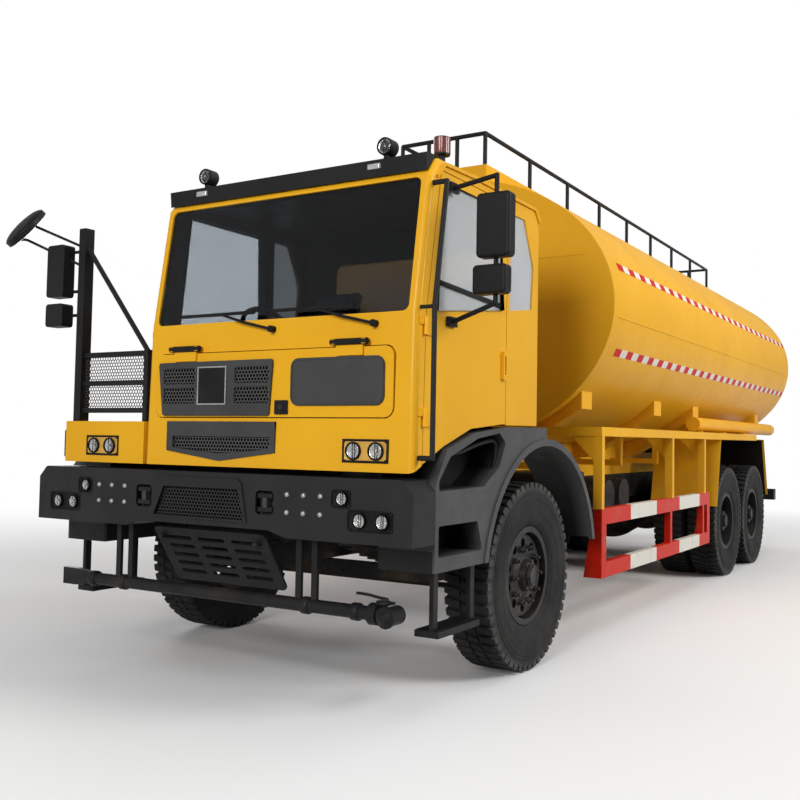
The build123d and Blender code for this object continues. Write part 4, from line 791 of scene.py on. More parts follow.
# %% [markdown]
# ## Fine mesh in the grilles
# The CAD grilles carry a coarse mesh that stands for the real one, whose holes are half as wide.
# One six-sided cell is inset and opened, arrays repeat it in staggered rows, bisect cuts the sheet
# to its window, and Solidify gives it thickness. The rest of each grille is a copy of the CAD mesh
# with its coarse sheet deleted, so its form stays.
# Near black plates behind the meshes are painted shade of the hollows behind them.

# %% perforated sheets
MESH_PITCH, MESH_WEB, MESH_T = 0.0265, 0.0052, 0.003
MESH_FLAT = MESH_PITCH / math.sqrt(3)
ROW_PAIR = 3 * MESH_FLAT


def mesh_sheet(name, outline, y):
    """Perforated sheet in a plane of constant Y, cut to a convex outline of (x, z) points, clockwise."""
    low = [min(p[i] for p in outline) for i in (0, 1)]
    high = [max(p[i] for p in outline) for i in (0, 1)]
    fresh()
    bpy.ops.mesh.primitive_circle_add(vertices=6, radius=MESH_FLAT, fill_type="NGON",
                                      location=(low[0], y, low[1]), rotation=(math.pi / 2, 0, 0))
    sheet = open_edit(name)
    select_all()
    bpy.ops.mesh.inset(thickness=MESH_WEB / 2)
    bpy.ops.mesh.delete(type="FACE")
    columns = math.ceil((high[0] - low[0]) / MESH_PITCH) + 1
    row_pairs = math.ceil((high[1] - low[1]) / ROW_PAIR) + 1
    for offset, count in (((MESH_PITCH, 0, 0), columns), ((MESH_PITCH / 2, 0, ROW_PAIR / 2), 2),
                          ((0, 0, ROW_PAIR), row_pairs)):
        repeat(sheet, offset, count, use_merge_vertices=True, merge_threshold=0.0002)
    bpy.ops.object.mode_set(mode="EDIT")
    for (x0, z0), (x1, z1) in zip(outline, outline[1:] + outline[:1]):
        select_all()
        bpy.ops.mesh.bisect(plane_co=(x0, y, z0), plane_no=(z0 - z1, 0, x1 - x0), clear_outer=True)
    tidy_normals()
    apply_on(sheet, "SOLIDIFY", thickness=MESH_T, offset=0)
    return sheet


def cad_copy(node, name, drop):
    """A merged copy of a CAD node's mesh without the faces whose middle passes a test."""
    twin = copy_of(nodes[node], name)
    twin.parent = None
    for key in list(twin.keys()):
        del twin[key]
    take(twin)
    bpy.ops.mesh.customdata_custom_splitnormals_clear()
    bpy.ops.object.mode_set(mode="EDIT")
    select_all()
    bpy.ops.mesh.remove_doubles(threshold=0.00005)
    choose(twin, drop)
    bpy.ops.mesh.delete(type="FACE")
    close_edit()
    return twin


def corners(x, z, width, height):
    """Rectangle's corners, clockwise from its lower left."""
    a, b = width / 2, height / 2
    return [(x - a, z - b), (x - a, z + b), (x + a, z + b), (x + a, z - b)]


def shade_plate(name, outline, y):
    """Painted shade behind a mesh: a near black disc put on the outline, extruded to a thin plate."""
    plate = disc_on(name, [(x, y, z) for x, z in outline])
    extrude((0, 0.001, 0))
    tidy_normals()
    close_edit()
    return plate


print("mesh tools ready")

# %% meshes of hatch, lower grille, bumper and deck guard
CELL_CENTRES = [(x, z) for x in (-0.271, 0.373) for z in (2.071, 1.940)]
CELLS = [corners(x, z, 0.286, 0.102) for x, z in CELL_CENTRES]
BUMPER_WINDOW = [(-0.434, 1.137), (-0.344, 1.329), (0.319, 1.329), (0.376, 1.137)]
LOWER_WINDOW = [(-0.320, 1.592), (-0.322, 1.666), (0.536, 1.666), (0.526, 1.592), (0.098, 1.558)]
GUARD_PANELS = [corners(-1.0075, z, 0.634, height) for z, height in ((1.944, 0.160), (2.1475, 0.171))]
HATCH_SHEET, HATCH_BACK, GUARD_SHEET = -5.5385, -5.5348, -5.4650
WINDOW_SHEET, WINDOW_BACK, LOWER_SHEET, LOWER_BACK = -5.5655, -5.5570, -5.5250, -5.5215


def in_cells(middle, normal):
    """Coarse mesh inside the hatch cells."""
    return middle.y > -5.5380 and any(abs(middle.x - x) < 0.150 and abs(middle.z - z) < 0.058
                                      for x, z in CELL_CENTRES)


def coarse_front(middle, normal):
    """Coarse sheets of the bumper window and the lower grille."""
    in_window = abs(middle.x) < 0.446 and -5.5690 < middle.y < -5.5585 and middle.z < 1.40
    return in_window or (middle.y > -5.5232 and middle.z > 1.48)


bezel = close_piece(cad_copy("hatch_grille", "hatch_bezel", in_cells), "bezel_grey", "hatch")
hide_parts("hatch_grille")
lower = close_piece(cad_copy("front_mesh", "lower_bezel", coarse_front), "bezel_grey")
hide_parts("front_mesh")
hatch_sheets = [mesh_sheet("cell", cell, HATCH_SHEET) for cell in CELLS]
close_piece(join_all(hatch_sheets, "hatch_mesh"), "mesh_grey", "hatch")
# Painted shade: near black plates behind the hatch meshes and the front meshes.
hatch_shade_plates = [shade_plate("back", cell, HATCH_BACK) for cell in CELLS]
close_piece(join_all(hatch_shade_plates, "hatch_mesh_shade"), "dark_shade_plate", "hatch")
close_piece(mesh_sheet("front_fine_mesh", BUMPER_WINDOW, WINDOW_SHEET), "mesh_black")
close_piece(mesh_sheet("lower_fine_mesh", LOWER_WINDOW, LOWER_SHEET), "mesh_grey")
front_shade_plates = [shade_plate("back", BUMPER_WINDOW, WINDOW_BACK), shade_plate("lower", LOWER_WINDOW, LOWER_BACK)]
close_piece(join_all(front_shade_plates, "front_mesh_shade"), "dark_shade_plate")
guard_sheets = [mesh_sheet("panel", panel, GUARD_SHEET) for panel in GUARD_PANELS]
panels = close_piece(join_all(guard_sheets, "guard_fine_mesh"), "mesh_black")
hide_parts("guard_mesh")

# %% [markdown]
# ## Lamps
# A lamp is a housing with a sunk face, a black rim, a shallow bright bowl with its bulb, and a domed
# lens behind a black bar. Each is modelled once with a radius of one metre, facing forward, and
# copied at the size of every lamp on bumper, cab, deck and visor. Together they stand for the CAD
# lamp solids.

# %% one lamp at unit size
fresh()
bpy.ops.mesh.primitive_torus_add(major_segments=40, minor_segments=10, major_radius=0.90,
                                 minor_radius=0.10, rotation=AXIS_TURN["Y"])
rim = open_edit("rim")
select_all()
bpy.ops.transform.resize(value=(1, 1.6, 1), center_override=(0, 0, 0))
bpy.ops.mesh.bisect(plane_co=(0, 0.10, 0), plane_no=(0, 1, 0), clear_outer=True, use_fill=True)
close_edit()


def half_ball(name, segments, radius, axis, cut, squash, fill):
    """A ball along an axis, cut in half on one side and flattened along that side."""
    fresh()
    bpy.ops.mesh.primitive_uv_sphere_add(segments=segments, ring_count=segments // 2, radius=radius,
                                         rotation=AXIS_TURN[axis])
    ball = open_edit(name)
    select_all()
    bpy.ops.mesh.bisect(plane_co=(0, 0, 0), plane_no=cut, clear_outer=True, use_fill=fill)
    select_all()
    bpy.ops.transform.resize(value=squash, center_override=(0, 0, 0))
    close_edit()
    return ball


bowl = half_ball("bowl", 36, 0.88, "Y", (0, -1, 0), (1, 0.16, 1), False)
lens = half_ball("lens", 36, 0.86, "Y", (0, 1, 0), (1, 0.14, 1), False)
for dome in (bowl, lens):
    apply_on(dome, "SOLIDIFY", thickness=0.02, offset=1)
bulb = shaped(drum_start("bulb", (0, 0.02, 0), "Y", 0.16, 0.16, 20), "-Y", [(0.05, 0.05)], 0.03)
bar = shaped(block_start("bar", (-0.05, -0.10, -0.86), (0.05, -0.04, 0.86)), "-Y", [(0.02, 0.02)])
print("lamp pattern made")

# %% lamps in their places
BUMPER_FRONT = -5.582
BUMPER_LAMPS = ((1.138, 1.306, 0.044), (1.270, 1.182, 0.048), (1.432, 1.182, 0.048))
HEADLAMPS, HEADLAMP_HALF, LAMP_R = ((1.272, 1.595), (-1.030, 1.592)), 0.082, 0.056
LAMPS = [(side * x, BUMPER_FRONT - 0.001, z, r) for side in (1, -1) for x, z, r in BUMPER_LAMPS]
LAMPS += [(x + dx, CAB_FRONT - 0.012, z, LAMP_R)
          for x, z in HEADLAMPS for dx in (-HEADLAMP_HALF, HEADLAMP_HALF)]
LAMPS += [(x, CAB_FRONT + 0.160, 3.490, LAMP_R) for x in (-0.256, 1.260)]
PATTERNS = {"rims": (rim, "black_plastic"), "bars": (bar, "black_plastic"), "bowls": (bowl, "reflector"),
            "bulbs": (bulb, "bulb_white"), "lenses": (lens, "lens_glass")}
mottled("reflector", ((0.52, 0.51, 0.49), (0.36, 0.35, 0.33)), 0.22, 1.0)
mottled("bulb_white", ((0.55, 0.53, 0.48), (0.42, 0.40, 0.36)), 0.3)
for word, (pattern, finish) in PATTERNS.items():
    places = [Matrix.Translation((x, y, z)) @ Matrix.Scale(r, 4) for x, y, z, r in LAMPS]
    close_piece(join_all([copy_of(pattern, word, place) for place in places], f"lamp_{word}"), finish)
    discard(pattern)
print(len(LAMPS), "lamps")

# %% lamp housings
FRAMES = [(side * 1.138, 1.306, 0.1494, 0.1114, BUMPER_FRONT + 0.006, 0.032) for side in (1, -1)]
FRAMES += [(side * 1.351, 1.182, 0.3294, 0.1294, BUMPER_FRONT + 0.006, 0.032) for side in (1, -1)]
FRAMES += [(x, z, 0.3354, 0.1434, CAB_FRONT - 0.006, 0.046) for x, z in HEADLAMPS]
SCREW_IN = 0.016
housings, screws, plates = [], [], []
for x, z, width, height, front, depth in FRAMES:
    housing = slab_start("housing", x, z, width / 2, height / 2, front, front + depth)
    housings.append(shaped(housing, "-Y", [(0.010, -0.005)], 0.003, True))
    for corner_x, corner_z in corners(x, z, width - 2 * SCREW_IN, height - 2 * SCREW_IN):
        screw = drum_start("screw", (corner_x, front - 0.001, corner_z), "Y", 0.006, 0.008, 12)
        screws.append(shaped(screw, "-Y", [(0.002, 0.002)]))
frames = close_piece(join_all(housings, "lamp_housings"), "black_plastic")
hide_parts("front_lamps")
close_piece(join_all(screws, "lamp_screws"), "wheel_paint")
mottled("warm_plate", ((0.70, 0.40, 0.07), (0.58, 0.32, 0.05)), 0.45, 0.1)
for x, z in HEADLAMPS:
    plate = slab_start("plate", x, z, 0.153, 0.057, CAB_FRONT - 0.004, CAB_FRONT + 0.004)
    plates.append(shaped(plate, "-Y", [(0.006, -0.002)], 0.001, True))
close_piece(join_all(plates, "lamp_plates"), "warm_plate")
print(len(FRAMES), "housings")

# %% [markdown]
# ## Marker lamps and beacon
# Two small clear markers sit on the visor's face, and a dark red beacon stands on the roof. The
# beacon is a drum with a domed crown made by insets, and each of its side faces is sunk a little.

# %% markers and beacon
mottled("marker_clear", ((0.62, 0.62, 0.62), (0.40, 0.40, 0.41)), 0.2, 0.3)
mottled("beacon_red", ((0.17, 0.030, 0.020), (0.12, 0.018, 0.012)), 0.25, 0.0, 25.0, 0.4)
BEACON, MARKER_Z = (1.478, AXLE_Y - 1.200, 3.549), 3.3625
markers = []
for x in (-0.260, 1.200):
    marker = slab_start("marker", x, MARKER_Z, 0.048, 0.0175, CAB_FRONT + 0.132, CAB_FRONT + 0.150)
    markers.append(shaped(marker, "-Y", [(0.008, 0.006)], 0.003))
close_piece(join_all(markers, "visor_markers"), "marker_clear")
beacon = drum_start("beacon", BEACON, "Z", 0.0550, 0.100, 36)
shaped(beacon, "+Z", [(0.008, 0.006), (0.018, 0.003)])
bpy.ops.object.mode_set(mode="EDIT")
choose(beacon, lambda middle, normal: abs(normal.z) < 0.2)
bpy.ops.mesh.inset(thickness=0.004, use_individual=True)
bpy.ops.transform.resize(value=(0.985, 0.985, 1), center_override=BEACON)
close_edit()
close_piece(beacon, "beacon_red", smooth=20)
print("markers and beacon done")

# %% [markdown]
# ## Tapes and weld seams on the tank
# Reflective tapes run along both sides at two heights, red and white by turns, and a weld seam shows
# as a thin bead. A tape is a plane, subdivided along its length and wrapped on the shell with a
# Shrinkwrap modifier, then given thickness. Its colours are a step pattern along Y.

# %% tape finish
TAPE_START, TAPE_PERIOD = AXLE_Y + 1.527, 0.307
TAPE_COLOURS = [(0.0, (0.58, 0.012, 0.006)), (0.5, (0.78, 0.74, 0.66))]
tree, shader, place = finish_start("tape_bands", 0.45)
shader.inputs["Specular IOR Level"].default_value = 0.1
turns = maths(tree, "DIVIDE", maths(tree, "SUBTRACT", axis_of(tree, place, "Y"), TAPE_START), TAPE_PERIOD)
bands = add_ramp(tree, maths(tree, "FRACT", turns), TAPE_COLOURS, "CONSTANT")
worn = two_tone(tree, place, 60.0, ((0.42, 0.30, 0.16), (0.30, 0.20, 0.10)), high=0.8)
wear = add_range(tree, add_noise(tree, place, 14.0, 8.0), 0.58, 0.85, 0.0, 0.3)
tree.links.new(mix_colours(tree, wear, bands, worn), shader.inputs["Base Color"])
cells = tree.nodes.new("ShaderNodeTexVoronoi")
cells.inputs["Scale"].default_value = 260.0
tree.links.new(place, cells.inputs["Vector"])
add_bump(tree, shader, cells.outputs["Distance"], 0.2, 0.001)
print("tape finish made")

# %% tapes and seams
TANK_LOW, TANK_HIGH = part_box("tank")
TAPE_END, TAPE_HEIGHT = TANK_HIGH.y - 0.16, 0.066
SEAM_X, SEAM_Z, SEAM_R, SEAM_SHORT = 1.7333, 2.750, 0.0055, 0.10
HEAD_SEAM, HEAD_SEAM_Z = 2.90, 3.300


def tape_on(side, z):
    """One tape wrapped on the tank's side at a height."""
    fresh()
    bpy.ops.mesh.primitive_plane_add(size=1, location=(side * 1.76, (TAPE_START + TAPE_END) / 2, z),
                                     rotation=(0, side * math.pi / 2, 0))
    bpy.context.object.scale = (TAPE_HEIGHT, TAPE_END - TAPE_START, 1)
    tape = open_edit("tape")
    choose_long(tape, 1, 1)
    bpy.ops.mesh.subdivide(number_cuts=47)
    choose_long(tape, 2, 0.01)
    bpy.ops.mesh.subdivide(number_cuts=2)
    apply_on(tape, "SHRINKWRAP", target=nodes["tank"], wrap_method="PROJECT", use_project_x=True,
             use_negative_direction=True, use_positive_direction=True, offset=0.0012)
    apply_on(tape, "SOLIDIFY", thickness=0.0010, offset=1)
    return tape


def bead(centre, axis, length, cuts, seed):
    """A weld bead: a thin drum, cut along its length and made slightly uneven."""
    seam = drum_start("seam", centre, axis, SEAM_R, length, 8)
    choose_long(seam, "XYZ".index(axis), 1)
    bpy.ops.mesh.subdivide(number_cuts=cuts)
    select_all()
    bpy.ops.transform.vertex_random(offset=0.0008, seed=seed)
    close_edit()
    return seam


tapes, seams = [], []
tank_middle, tank_length = (TANK_LOW.y + TANK_HIGH.y) / 2, TANK_HIGH.y - TANK_LOW.y
for side in (1, -1):
    tapes += [tape_on(side, z) for z in (3.220, 2.460)]
    seams.append(bead((side * SEAM_X, tank_middle, SEAM_Z), "Y", tank_length - 2 * SEAM_SHORT, 160, 3))
for end in (TANK_LOW.y, TANK_HIGH.y):
    seams.append(bead((0, end, HEAD_SEAM_Z), "X", HEAD_SEAM, 80, 5))
close_piece(join_all(tapes, "tank_tapes"), "tape_bands")
close_piece(join_all(seams, "tank_seams"), "yellow_paint")
print("tapes and seams on the tank")

# %% [markdown]
# ## Window seals
# Black rubber frames the door windows, and a thin bar divides the left door's glass near its foot.
# A disc is put on the window's corners, inset, opened and extruded.

# %% seals and divider
DOOR_WINDOW = [(AXLE_Y - 1.455, 2.450), (AXLE_Y - 1.368, 3.262), (AXLE_Y - 0.575, 3.262),
               (AXLE_Y - 0.575, 2.562)]
SEAL_OUT, SEAL_IN, SEAL_WIDTH = 0.003, 0.0195, 0.020


def seal_ring(name, outline, x_out, x_in, width):
    """Flat frame round an outline of (y, z) corners between two X stations."""
    ring = disc_on(name, [(x_out, y, z) for y, z in outline])
    bpy.ops.mesh.inset(thickness=width)
    bpy.ops.mesh.delete(type="FACE")
    select_all()
    extrude((x_in - x_out, 0, 0))
    tidy_normals()
    round_edges(0.002)
    return ring


divider = block_start("divider", (CAB_LEFT - 0.022, AXLE_Y - 1.440, 2.620),
                      (CAB_LEFT - 0.004, AXLE_Y - 0.580, 2.650))
choose_side(divider, "+Y")
bpy.ops.transform.translate(value=(0, 0, -0.040))
round_edges(0.004)
for word, skin, inward, extra in (("left", CAB_LEFT, -1, [divider]), ("right", CAB_RIGHT, 1, [])):
    ring = seal_ring("seal", DOOR_WINDOW, skin + inward * SEAL_OUT, skin + inward * SEAL_IN, SEAL_WIDTH)
    close_piece(join_all([ring] + extra, f"door_seal_{word}"), "black_plastic", f"door_{word}")
print("door seals and divider")

# %% [markdown]
# ## Bolts, hatch fittings and tow jaws
# Pale bolt heads show in two rows on the bumper: a bolt is a drum with a domed crown by two insets.
# Black covers sit round the hatch's hinge pins and turn with the hatch. The hatch's dark panel has a
# thin raised rim, the lock a black plate, and the grille's middle a blank field in a bright frame.
# Jaws and a pin fill each tow pocket.

# %% bumper bolts and hinge covers
mottled("zinc", ((0.42, 0.42, 0.41), (0.30, 0.30, 0.29)), 0.35, 0.6)
BOLT_COLUMNS, BOLT_ROWS = (0.725, 0.855, 0.985), (1.315, 1.204)
heads = []
for x, z in [(side * x, z) for side in (1, -1) for x in BOLT_COLUMNS for z in BOLT_ROWS]:
    head = drum_start("head", (x, BUMPER_FRONT - 0.004, z), "Y", 0.017, 0.010, 16)
    heads.append(shaped(head, "-Y", [(0.004, 0.005), (0.006, 0.003)]))
close_piece(join_all(heads, "bumper_bolts"), "zinc", smooth=50)


def ended_drum(name, centre, radius, depth, sides, draw, rounding, segments):
    """A drum along X whose ends are inset and drawn out."""
    drum = drum_start(name, centre, "X", radius, depth, sides)
    choose_side(drum, "X")
    bpy.ops.mesh.inset(thickness=0.006)
    bpy.ops.transform.resize(value=(draw, 1, 1), center_override=(centre[0], 0, 0))
    round_edges(rounding, segments)
    return drum


HINGE_Z = 2.256
covers = [ended_drum("cover", (x, CAB_FRONT - 0.014, HINGE_Z), 0.0205, 0.270, 24, 1.03, 0.003, 2)
          for x in (-0.223, 1.148)]
close_piece(join_all(covers, "hinge_covers"), "black_plastic", "hatch")
print(len(heads), "bolts and", len(covers), "covers")

# %% rim of the hatch panel
PANEL_FRONT = CAB_FRONT - 0.0065
panel = block_start("panel_rim", (0.698, PANEL_FRONT - 0.0045, 1.8745), (1.398, PANEL_FRONT + 0.001, 2.1615))
choose_long(panel, 1, 0.004)
bpy.ops.mesh.bevel(offset=0.055, segments=8, affect="EDGES")
shaped(panel, "-Y", [(0.009, -0.0035)], walls=True)
close_piece(panel, "bezel_grey", "hatch")
print("panel rimmed")

# %% tow jaws
TOW_X, TOW_Z, JAW_UP, PIN_IN = 0.540, 1.256, 0.043, 0.034
jaws = []
for x in (TOW_X, -TOW_X):
    for z in (TOW_Z - JAW_UP, TOW_Z + JAW_UP):
        jaw = slab_start("jaw", x, z, 0.066, 0.021, BUMPER_FRONT + 0.001, BUMPER_FRONT + 0.058)
        choose_side(jaw, "-Y")
        bpy.ops.transform.resize(value=(0.9, 1, 0.7), center_override=(x, 0, z))
        round_edges(0.005)
        jaws.append(jaw)
    pin_x, pin_y = x - PIN_IN, BUMPER_FRONT + 0.024
    pin = drum_start("pin", (pin_x, pin_y, TOW_Z), "Z", 0.013, 0.112, 20)
    choose_side(pin, "+Z")
    extrude((0, 0, 0.008))
    bpy.ops.transform.resize(value=(1.3, 1.3, 1), center_override=(pin_x, pin_y, 0))
    round_edges(0.002)
    jaws.append(pin)
close_piece(join_all(jaws, "tow_jaws"), "black_paint")
print(len(jaws), "jaws and pins")

# %% lock and blank field
BLANK_X, BLANK_Z, BLANK_FRONT = 0.032, 2.005, CAB_FRONT - 0.0185
LOCK_X, LOCK_Z = 0.620, 1.860
lock = drum_start("lock", (LOCK_X, -5.5440, LOCK_Z), "Y", 0.020, 0.006, 24)
close_piece(shaped(lock, "-Y", [(0.006, -0.003)], 0.001), "wheel_paint", "hatch")
plate = slab_start("lock_plate", LOCK_X, LOCK_Z, 0.052, 0.044, PANEL_FRONT - 0.003, PANEL_FRONT + 0.002)
close_piece(shaped(plate, "-Y", [(0.008, -0.001)], 0.001, True), "black_plastic", "hatch")
rim = slab_start("blank_rim", BLANK_X, BLANK_Z, 0.129, 0.128, BLANK_FRONT - 0.002, BLANK_FRONT + 0.004)
close_piece(shaped(rim, "-Y", [(0.010, -0.004)], 0.001, True), "zinc", "hatch")
field = slab_start("blank_field", BLANK_X, BLANK_Z, 0.118, 0.117, BLANK_FRONT, BLANK_FRONT + 0.004)
close_piece(shaped(field, "-Y", [(0.006, 0.001)], 0.0005, True), "black_plastic", "hatch")
print("lock and blank field set")

# %% [markdown]
# ## Steps and grips
# Steps have raised dots against slipping: one dot is a low drum with a narrowed crown, and two
# arrays fill the tread. The grip in each upper pocket is a bent tube: a smooth curve with a round
# bevel, converted to a mesh.

# %% dots on the steps
def dots(corner, pitch, counts):
    """Rows of raised dots from a corner."""
    dot = drum_start("dot", Vector(corner) + Vector((0, 0, 0.001)), "Z", 0.009, 0.006, 8)
    shaped(dot, "+Z", [(0.003, 0.001)])
    repeat(dot, (pitch, 0, 0), counts[0])
    repeat(dot, (0, pitch, 0), counts[1])
    return dot


treads = []
for pocket_x, hung_x in ((1.415, 1.465), (-1.625, -1.607)):
    treads.append(dots((pocket_x, AXLE_Y - 1.420, 0.962), 0.030, (8, 15)))
    treads.append(dots((hung_x, AXLE_Y - 1.375, 0.512), 0.0285, (6, 18)))
close_piece(join_all(treads, "step_dots"), "fender_grey", smooth=50)
print("steps dotted")

# %% grips in the pockets
GRIP_X, GRIP_R = 1.590, 0.014
GRIP_ROUTE = [(-0.655, 1.480), (-0.625, 1.560), (-0.615, 1.655), (-0.690, 1.672), (-0.950, 1.630),
              (-1.180, 1.570), (-1.200, 1.612)]


def tube_piece(name, points, radius):
    """A bent tube along a smooth open curve."""
    fresh()
    curve = bpy.data.curves.new(name, "CURVE")
    curve.dimensions = "3D"
    run = curve.splines.new("NURBS")
    run.points.add(len(points) - 1)
    for point, co in zip(run.points, points):
        point.co = (*co, 1)
    run.order_u = 3
    run.use_endpoint_u = True
    run.resolution_u = 8
    curve.bevel_depth = radius
    curve.bevel_resolution = 3
    curve.use_fill_caps = True
    tube = bpy.data.objects.new(name, curve)
    bpy.context.collection.objects.link(tube)
    take(tube)
    bpy.ops.object.convert(target="MESH")
    return bpy.context.object


grips = [tube_piece("grip", [(side * GRIP_X, AXLE_Y + y, z - drop) for y, z in GRIP_ROUTE], GRIP_R)
         for side, drop in ((1, 0.0), (-1, 0.045))]
close_piece(join_all(grips, "pocket_grips"), "black_plastic", smooth=60)
print("grips bent")

# %% [markdown]
# ## Spray bar fittings
# The pipe under the bumper has flanged collars, a valve with a lever and a round nozzle at its left
# end. Collars and nozzle are drums stepped by insets; the lever is a bent tube.

# %% collars, lever and nozzle
BAR_Y, BAR_Z, VALVE_X, NOZZLE_X = AXLE_Y - 1.620, 0.625, 1.385, 1.440
LEVER_ROUTE = [(VALVE_X, 0.096), (1.330, 0.100), (1.260, 0.112), (1.180, 0.112)]
fittings = [ended_drum("collar", (x, BAR_Y, BAR_Z), 0.054, 0.044, 28, 1.5, 0.003, 1)
            for x in (-1.150, -0.840, 0.800, 1.180)]
nozzle = drum_start("nozzle", (NOZZLE_X, BAR_Y - 0.074, BAR_Z), "Y", 0.064, 0.020, 32)
nozzle_steps = [(0.010, 0.0), (0.006, -0.008), (0.016, 0.0), (0.006, 0.010)]
fittings.append(shaped(nozzle, "-Y", nozzle_steps, 0.002, segments=1))
bonnet = drum_start("bonnet", (VALVE_X, BAR_Y, BAR_Z + 0.070), "Z", 0.042, 0.020, 8)
fittings.append(shaped(bonnet, "+Z", [(0.016, 0.020)], 0.003, True, 1))
fittings.append(tube_piece("lever", [(x, BAR_Y, BAR_Z + rise) for x, rise in LEVER_ROUTE], 0.009))
close_piece(join_all(fittings, "spray_fittings"), "black_paint")
print("spray bar fitted")

# %% [markdown]
# ## Mirrors
# Each mirror head gets its glass on the rear face: a thin block, its face inset and raised to a
# bevelled pane. The round mirror on the deck post has a domed back, a bulged glass and a short fork.

# %% mirror glass
MIRROR_PANES = {"door_left": [(1.927, -5.1105, 2.9725, 0.200, 0.365), (1.905, -5.1105, 2.642, 0.200, 0.150)],
                "chassis": [(-1.570, -5.4755, 2.8885, 0.160, 0.363), (-1.570, -5.4755, 2.556, 0.160, 0.142)]}
for body, rows in MIRROR_PANES.items():
    faces = []
    for x, y, z, width, height in rows:
        pane = slab_start("pane", x, z, width / 2, height / 2, y, y + 0.003)
        faces.append(shaped(pane, "+Y", [(0.006, 0.002)]))
    close_piece(join_all(faces, f"mirror_glass_{body}"), "mirror_face", body)
print("mirror heads glazed")

# %% round mirror
DISH, DISH_LOOK = Vector((-1.855, -5.645, 3.240)), Vector((0.25, 0.75, -0.6)).normalized()
FORK_ROUTE = [(-1.836, -5.6225, 3.137), (-1.842, -5.650, 3.142), (-1.858, -5.705, 3.118),
              (-1.864, -5.730, 3.094)]
look = Matrix.Translation(DISH) @ DISH_LOOK.to_track_quat("Z", "Y").to_matrix().to_4x4()
for name, finish, half, height, radius, lift in (("dish_back", "black_plastic", 1, 0.20, 0.180, 0.001),
                                                 ("dish_glass", "mirror_face", -1, 0.10, 0.169, 0.0355)):
    dome = half_ball(name, 40, radius, "Z", (0, 0, half), (1, 1, height), True)
    dome.data.transform(look @ Matrix.Translation((0, 0, lift)))
    close_piece(dome, finish)
close_piece(tube_piece("dish_fork", FORK_ROUTE, 0.010), "black_paint")
print("round mirror set")

# %% [markdown]
# ## Seats
# Two padded seats show through the glass. Each pad starts as a cube a little smaller than the CAD
# block, is bevelled and remeshed into even small faces, and is blown up as cloth with a light
# pressure, so that its faces crown and its sides pull in between the corners. The movement of each
# point is capped. Seam lines are pressed in afterwards, and the pedestal below is a plain moulding.

# %% seat cloth
tree, shader, place = finish_start("seat_cloth", 0.85)
shader.inputs["Sheen Weight"].default_value = 0.3
weave = tree.nodes.new("ShaderNodeTexWave")
weave.inputs["Scale"].default_value = 180.0
weave.inputs["Distortion"].default_value = 1.5
tree.links.new(place, weave.inputs["Vector"])
thread = add_ramp(tree, weave.outputs["Fac"], [(0.2, (0.030, 0.031, 0.034)), (0.8, (0.070, 0.072, 0.078))])
faded = two_tone(tree, place, 8.0, ((0.065, 0.067, 0.072), (0.045, 0.046, 0.050)))
tree.links.new(mix_colours(tree, add_noise(tree, place, 15.0), thread, faded), shader.inputs["Base Color"])
add_bump(tree, shader, weave.outputs["Fac"], 0.25, 0.002)
print("seat cloth made")

# %% tools for pads
PAD_CAP, PAD_FRAMES, PAD_PRESSURE, PAD_VOXEL = 0.022, 16, 4.0, 0.010
SEAM_DEPTH, SEAM_WIDTH = 0.010, 0.014


def pad_start(name, low, high):
    """A bevelled cube remeshed into small even faces."""
    pad = block_start(name, low, high)
    round_edges(0.030, 3)
    apply_on(pad, "REMESH", mode="VOXEL", voxel_size=PAD_VOXEL)
    return pad


def swell(pad):
    """Blow a pad up as cloth, keep each point within the cap, and leave a plain mesh."""
    take(pad)
    flat = [v.co.copy() for v in pad.data.vertices]
    cloth = pad.modifiers.new("cloth", "CLOTH")
    cloth.settings.use_pressure = True
    cloth.settings.uniform_pressure_force = PAD_PRESSURE
    cloth.settings.effector_weights.gravity = 0.0
    cloth.settings.quality = 4
    cloth.point_cache.frame_end = PAD_FRAMES
    for step in range(1, PAD_FRAMES + 1):
        bpy.context.scene.frame_set(step)
    bpy.ops.object.modifier_apply(modifier="cloth")
    bpy.context.scene.frame_set(1)
    for point, start in zip(pad.data.vertices, flat):
        move = point.co - start
        if move.length > PAD_CAP:
            point.co = start + move * (PAD_CAP / move.length)


def press_seams(pad, axis, places):
    """Press narrow channels into a pad at given places along an axis."""
    for point in pad.data.vertices:
        for place_along in places:
            gap = abs(point.co[axis] - place_along) / SEAM_WIDTH
            if gap < 1:
                point.co += point.normal * (-SEAM_DEPTH * (1 - gap * gap) ** 2)
    apply_on(pad, "SMOOTH", iterations=2)


print("pad tools ready")

# %% pads blown up as cloth
SEAT_FLOOR = 1.820
SEAT_X = {"driver": CAB_RIGHT + 0.560, "mate": CAB_LEFT - 0.520}
cushion = pad_start("cushion", (-0.235, -0.785, 0.305), (0.235, -0.300, 0.415))
back = pad_start("back", (-0.225, -0.050, 0.0), (0.225, 0.050, 0.585))
swell(cushion)
swell(back)
press_seams(cushion, 0, (-0.130, 0.130))
press_seams(back, 0, (-0.125, 0.125))
press_seams(back, 2, (0.420,))
back.data.transform(Matrix.Translation((0, -0.335, 0.445)) @ Matrix.Rotation(math.radians(-10.4), 4, "X"))
pedestals = []
for word, x in SEAT_X.items():
    at = Matrix.Translation((x, AXLE_Y, SEAT_FLOOR))
    for pattern, name in ((cushion, "cushion"), (back, "back")):
        pad = close_piece(copy_of(pattern, f"seat_{name}_{word}", at), "seat_cloth", smooth=60)
    pedestal = block_start("pedestal", (x - 0.165, AXLE_Y - 0.755, SEAT_FLOOR + 0.001),
                           (x + 0.165, AXLE_Y - 0.325, SEAT_FLOOR + 0.292))
    pedestals.append(shaped(pedestal, "+Z", [(0.02, 0.008)], 0.010, True))
base = close_piece(join_all(pedestals, "seat_pedestals"), "dash_plastic")
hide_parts("seats")
discard(cushion, back)
print("two seats padded")

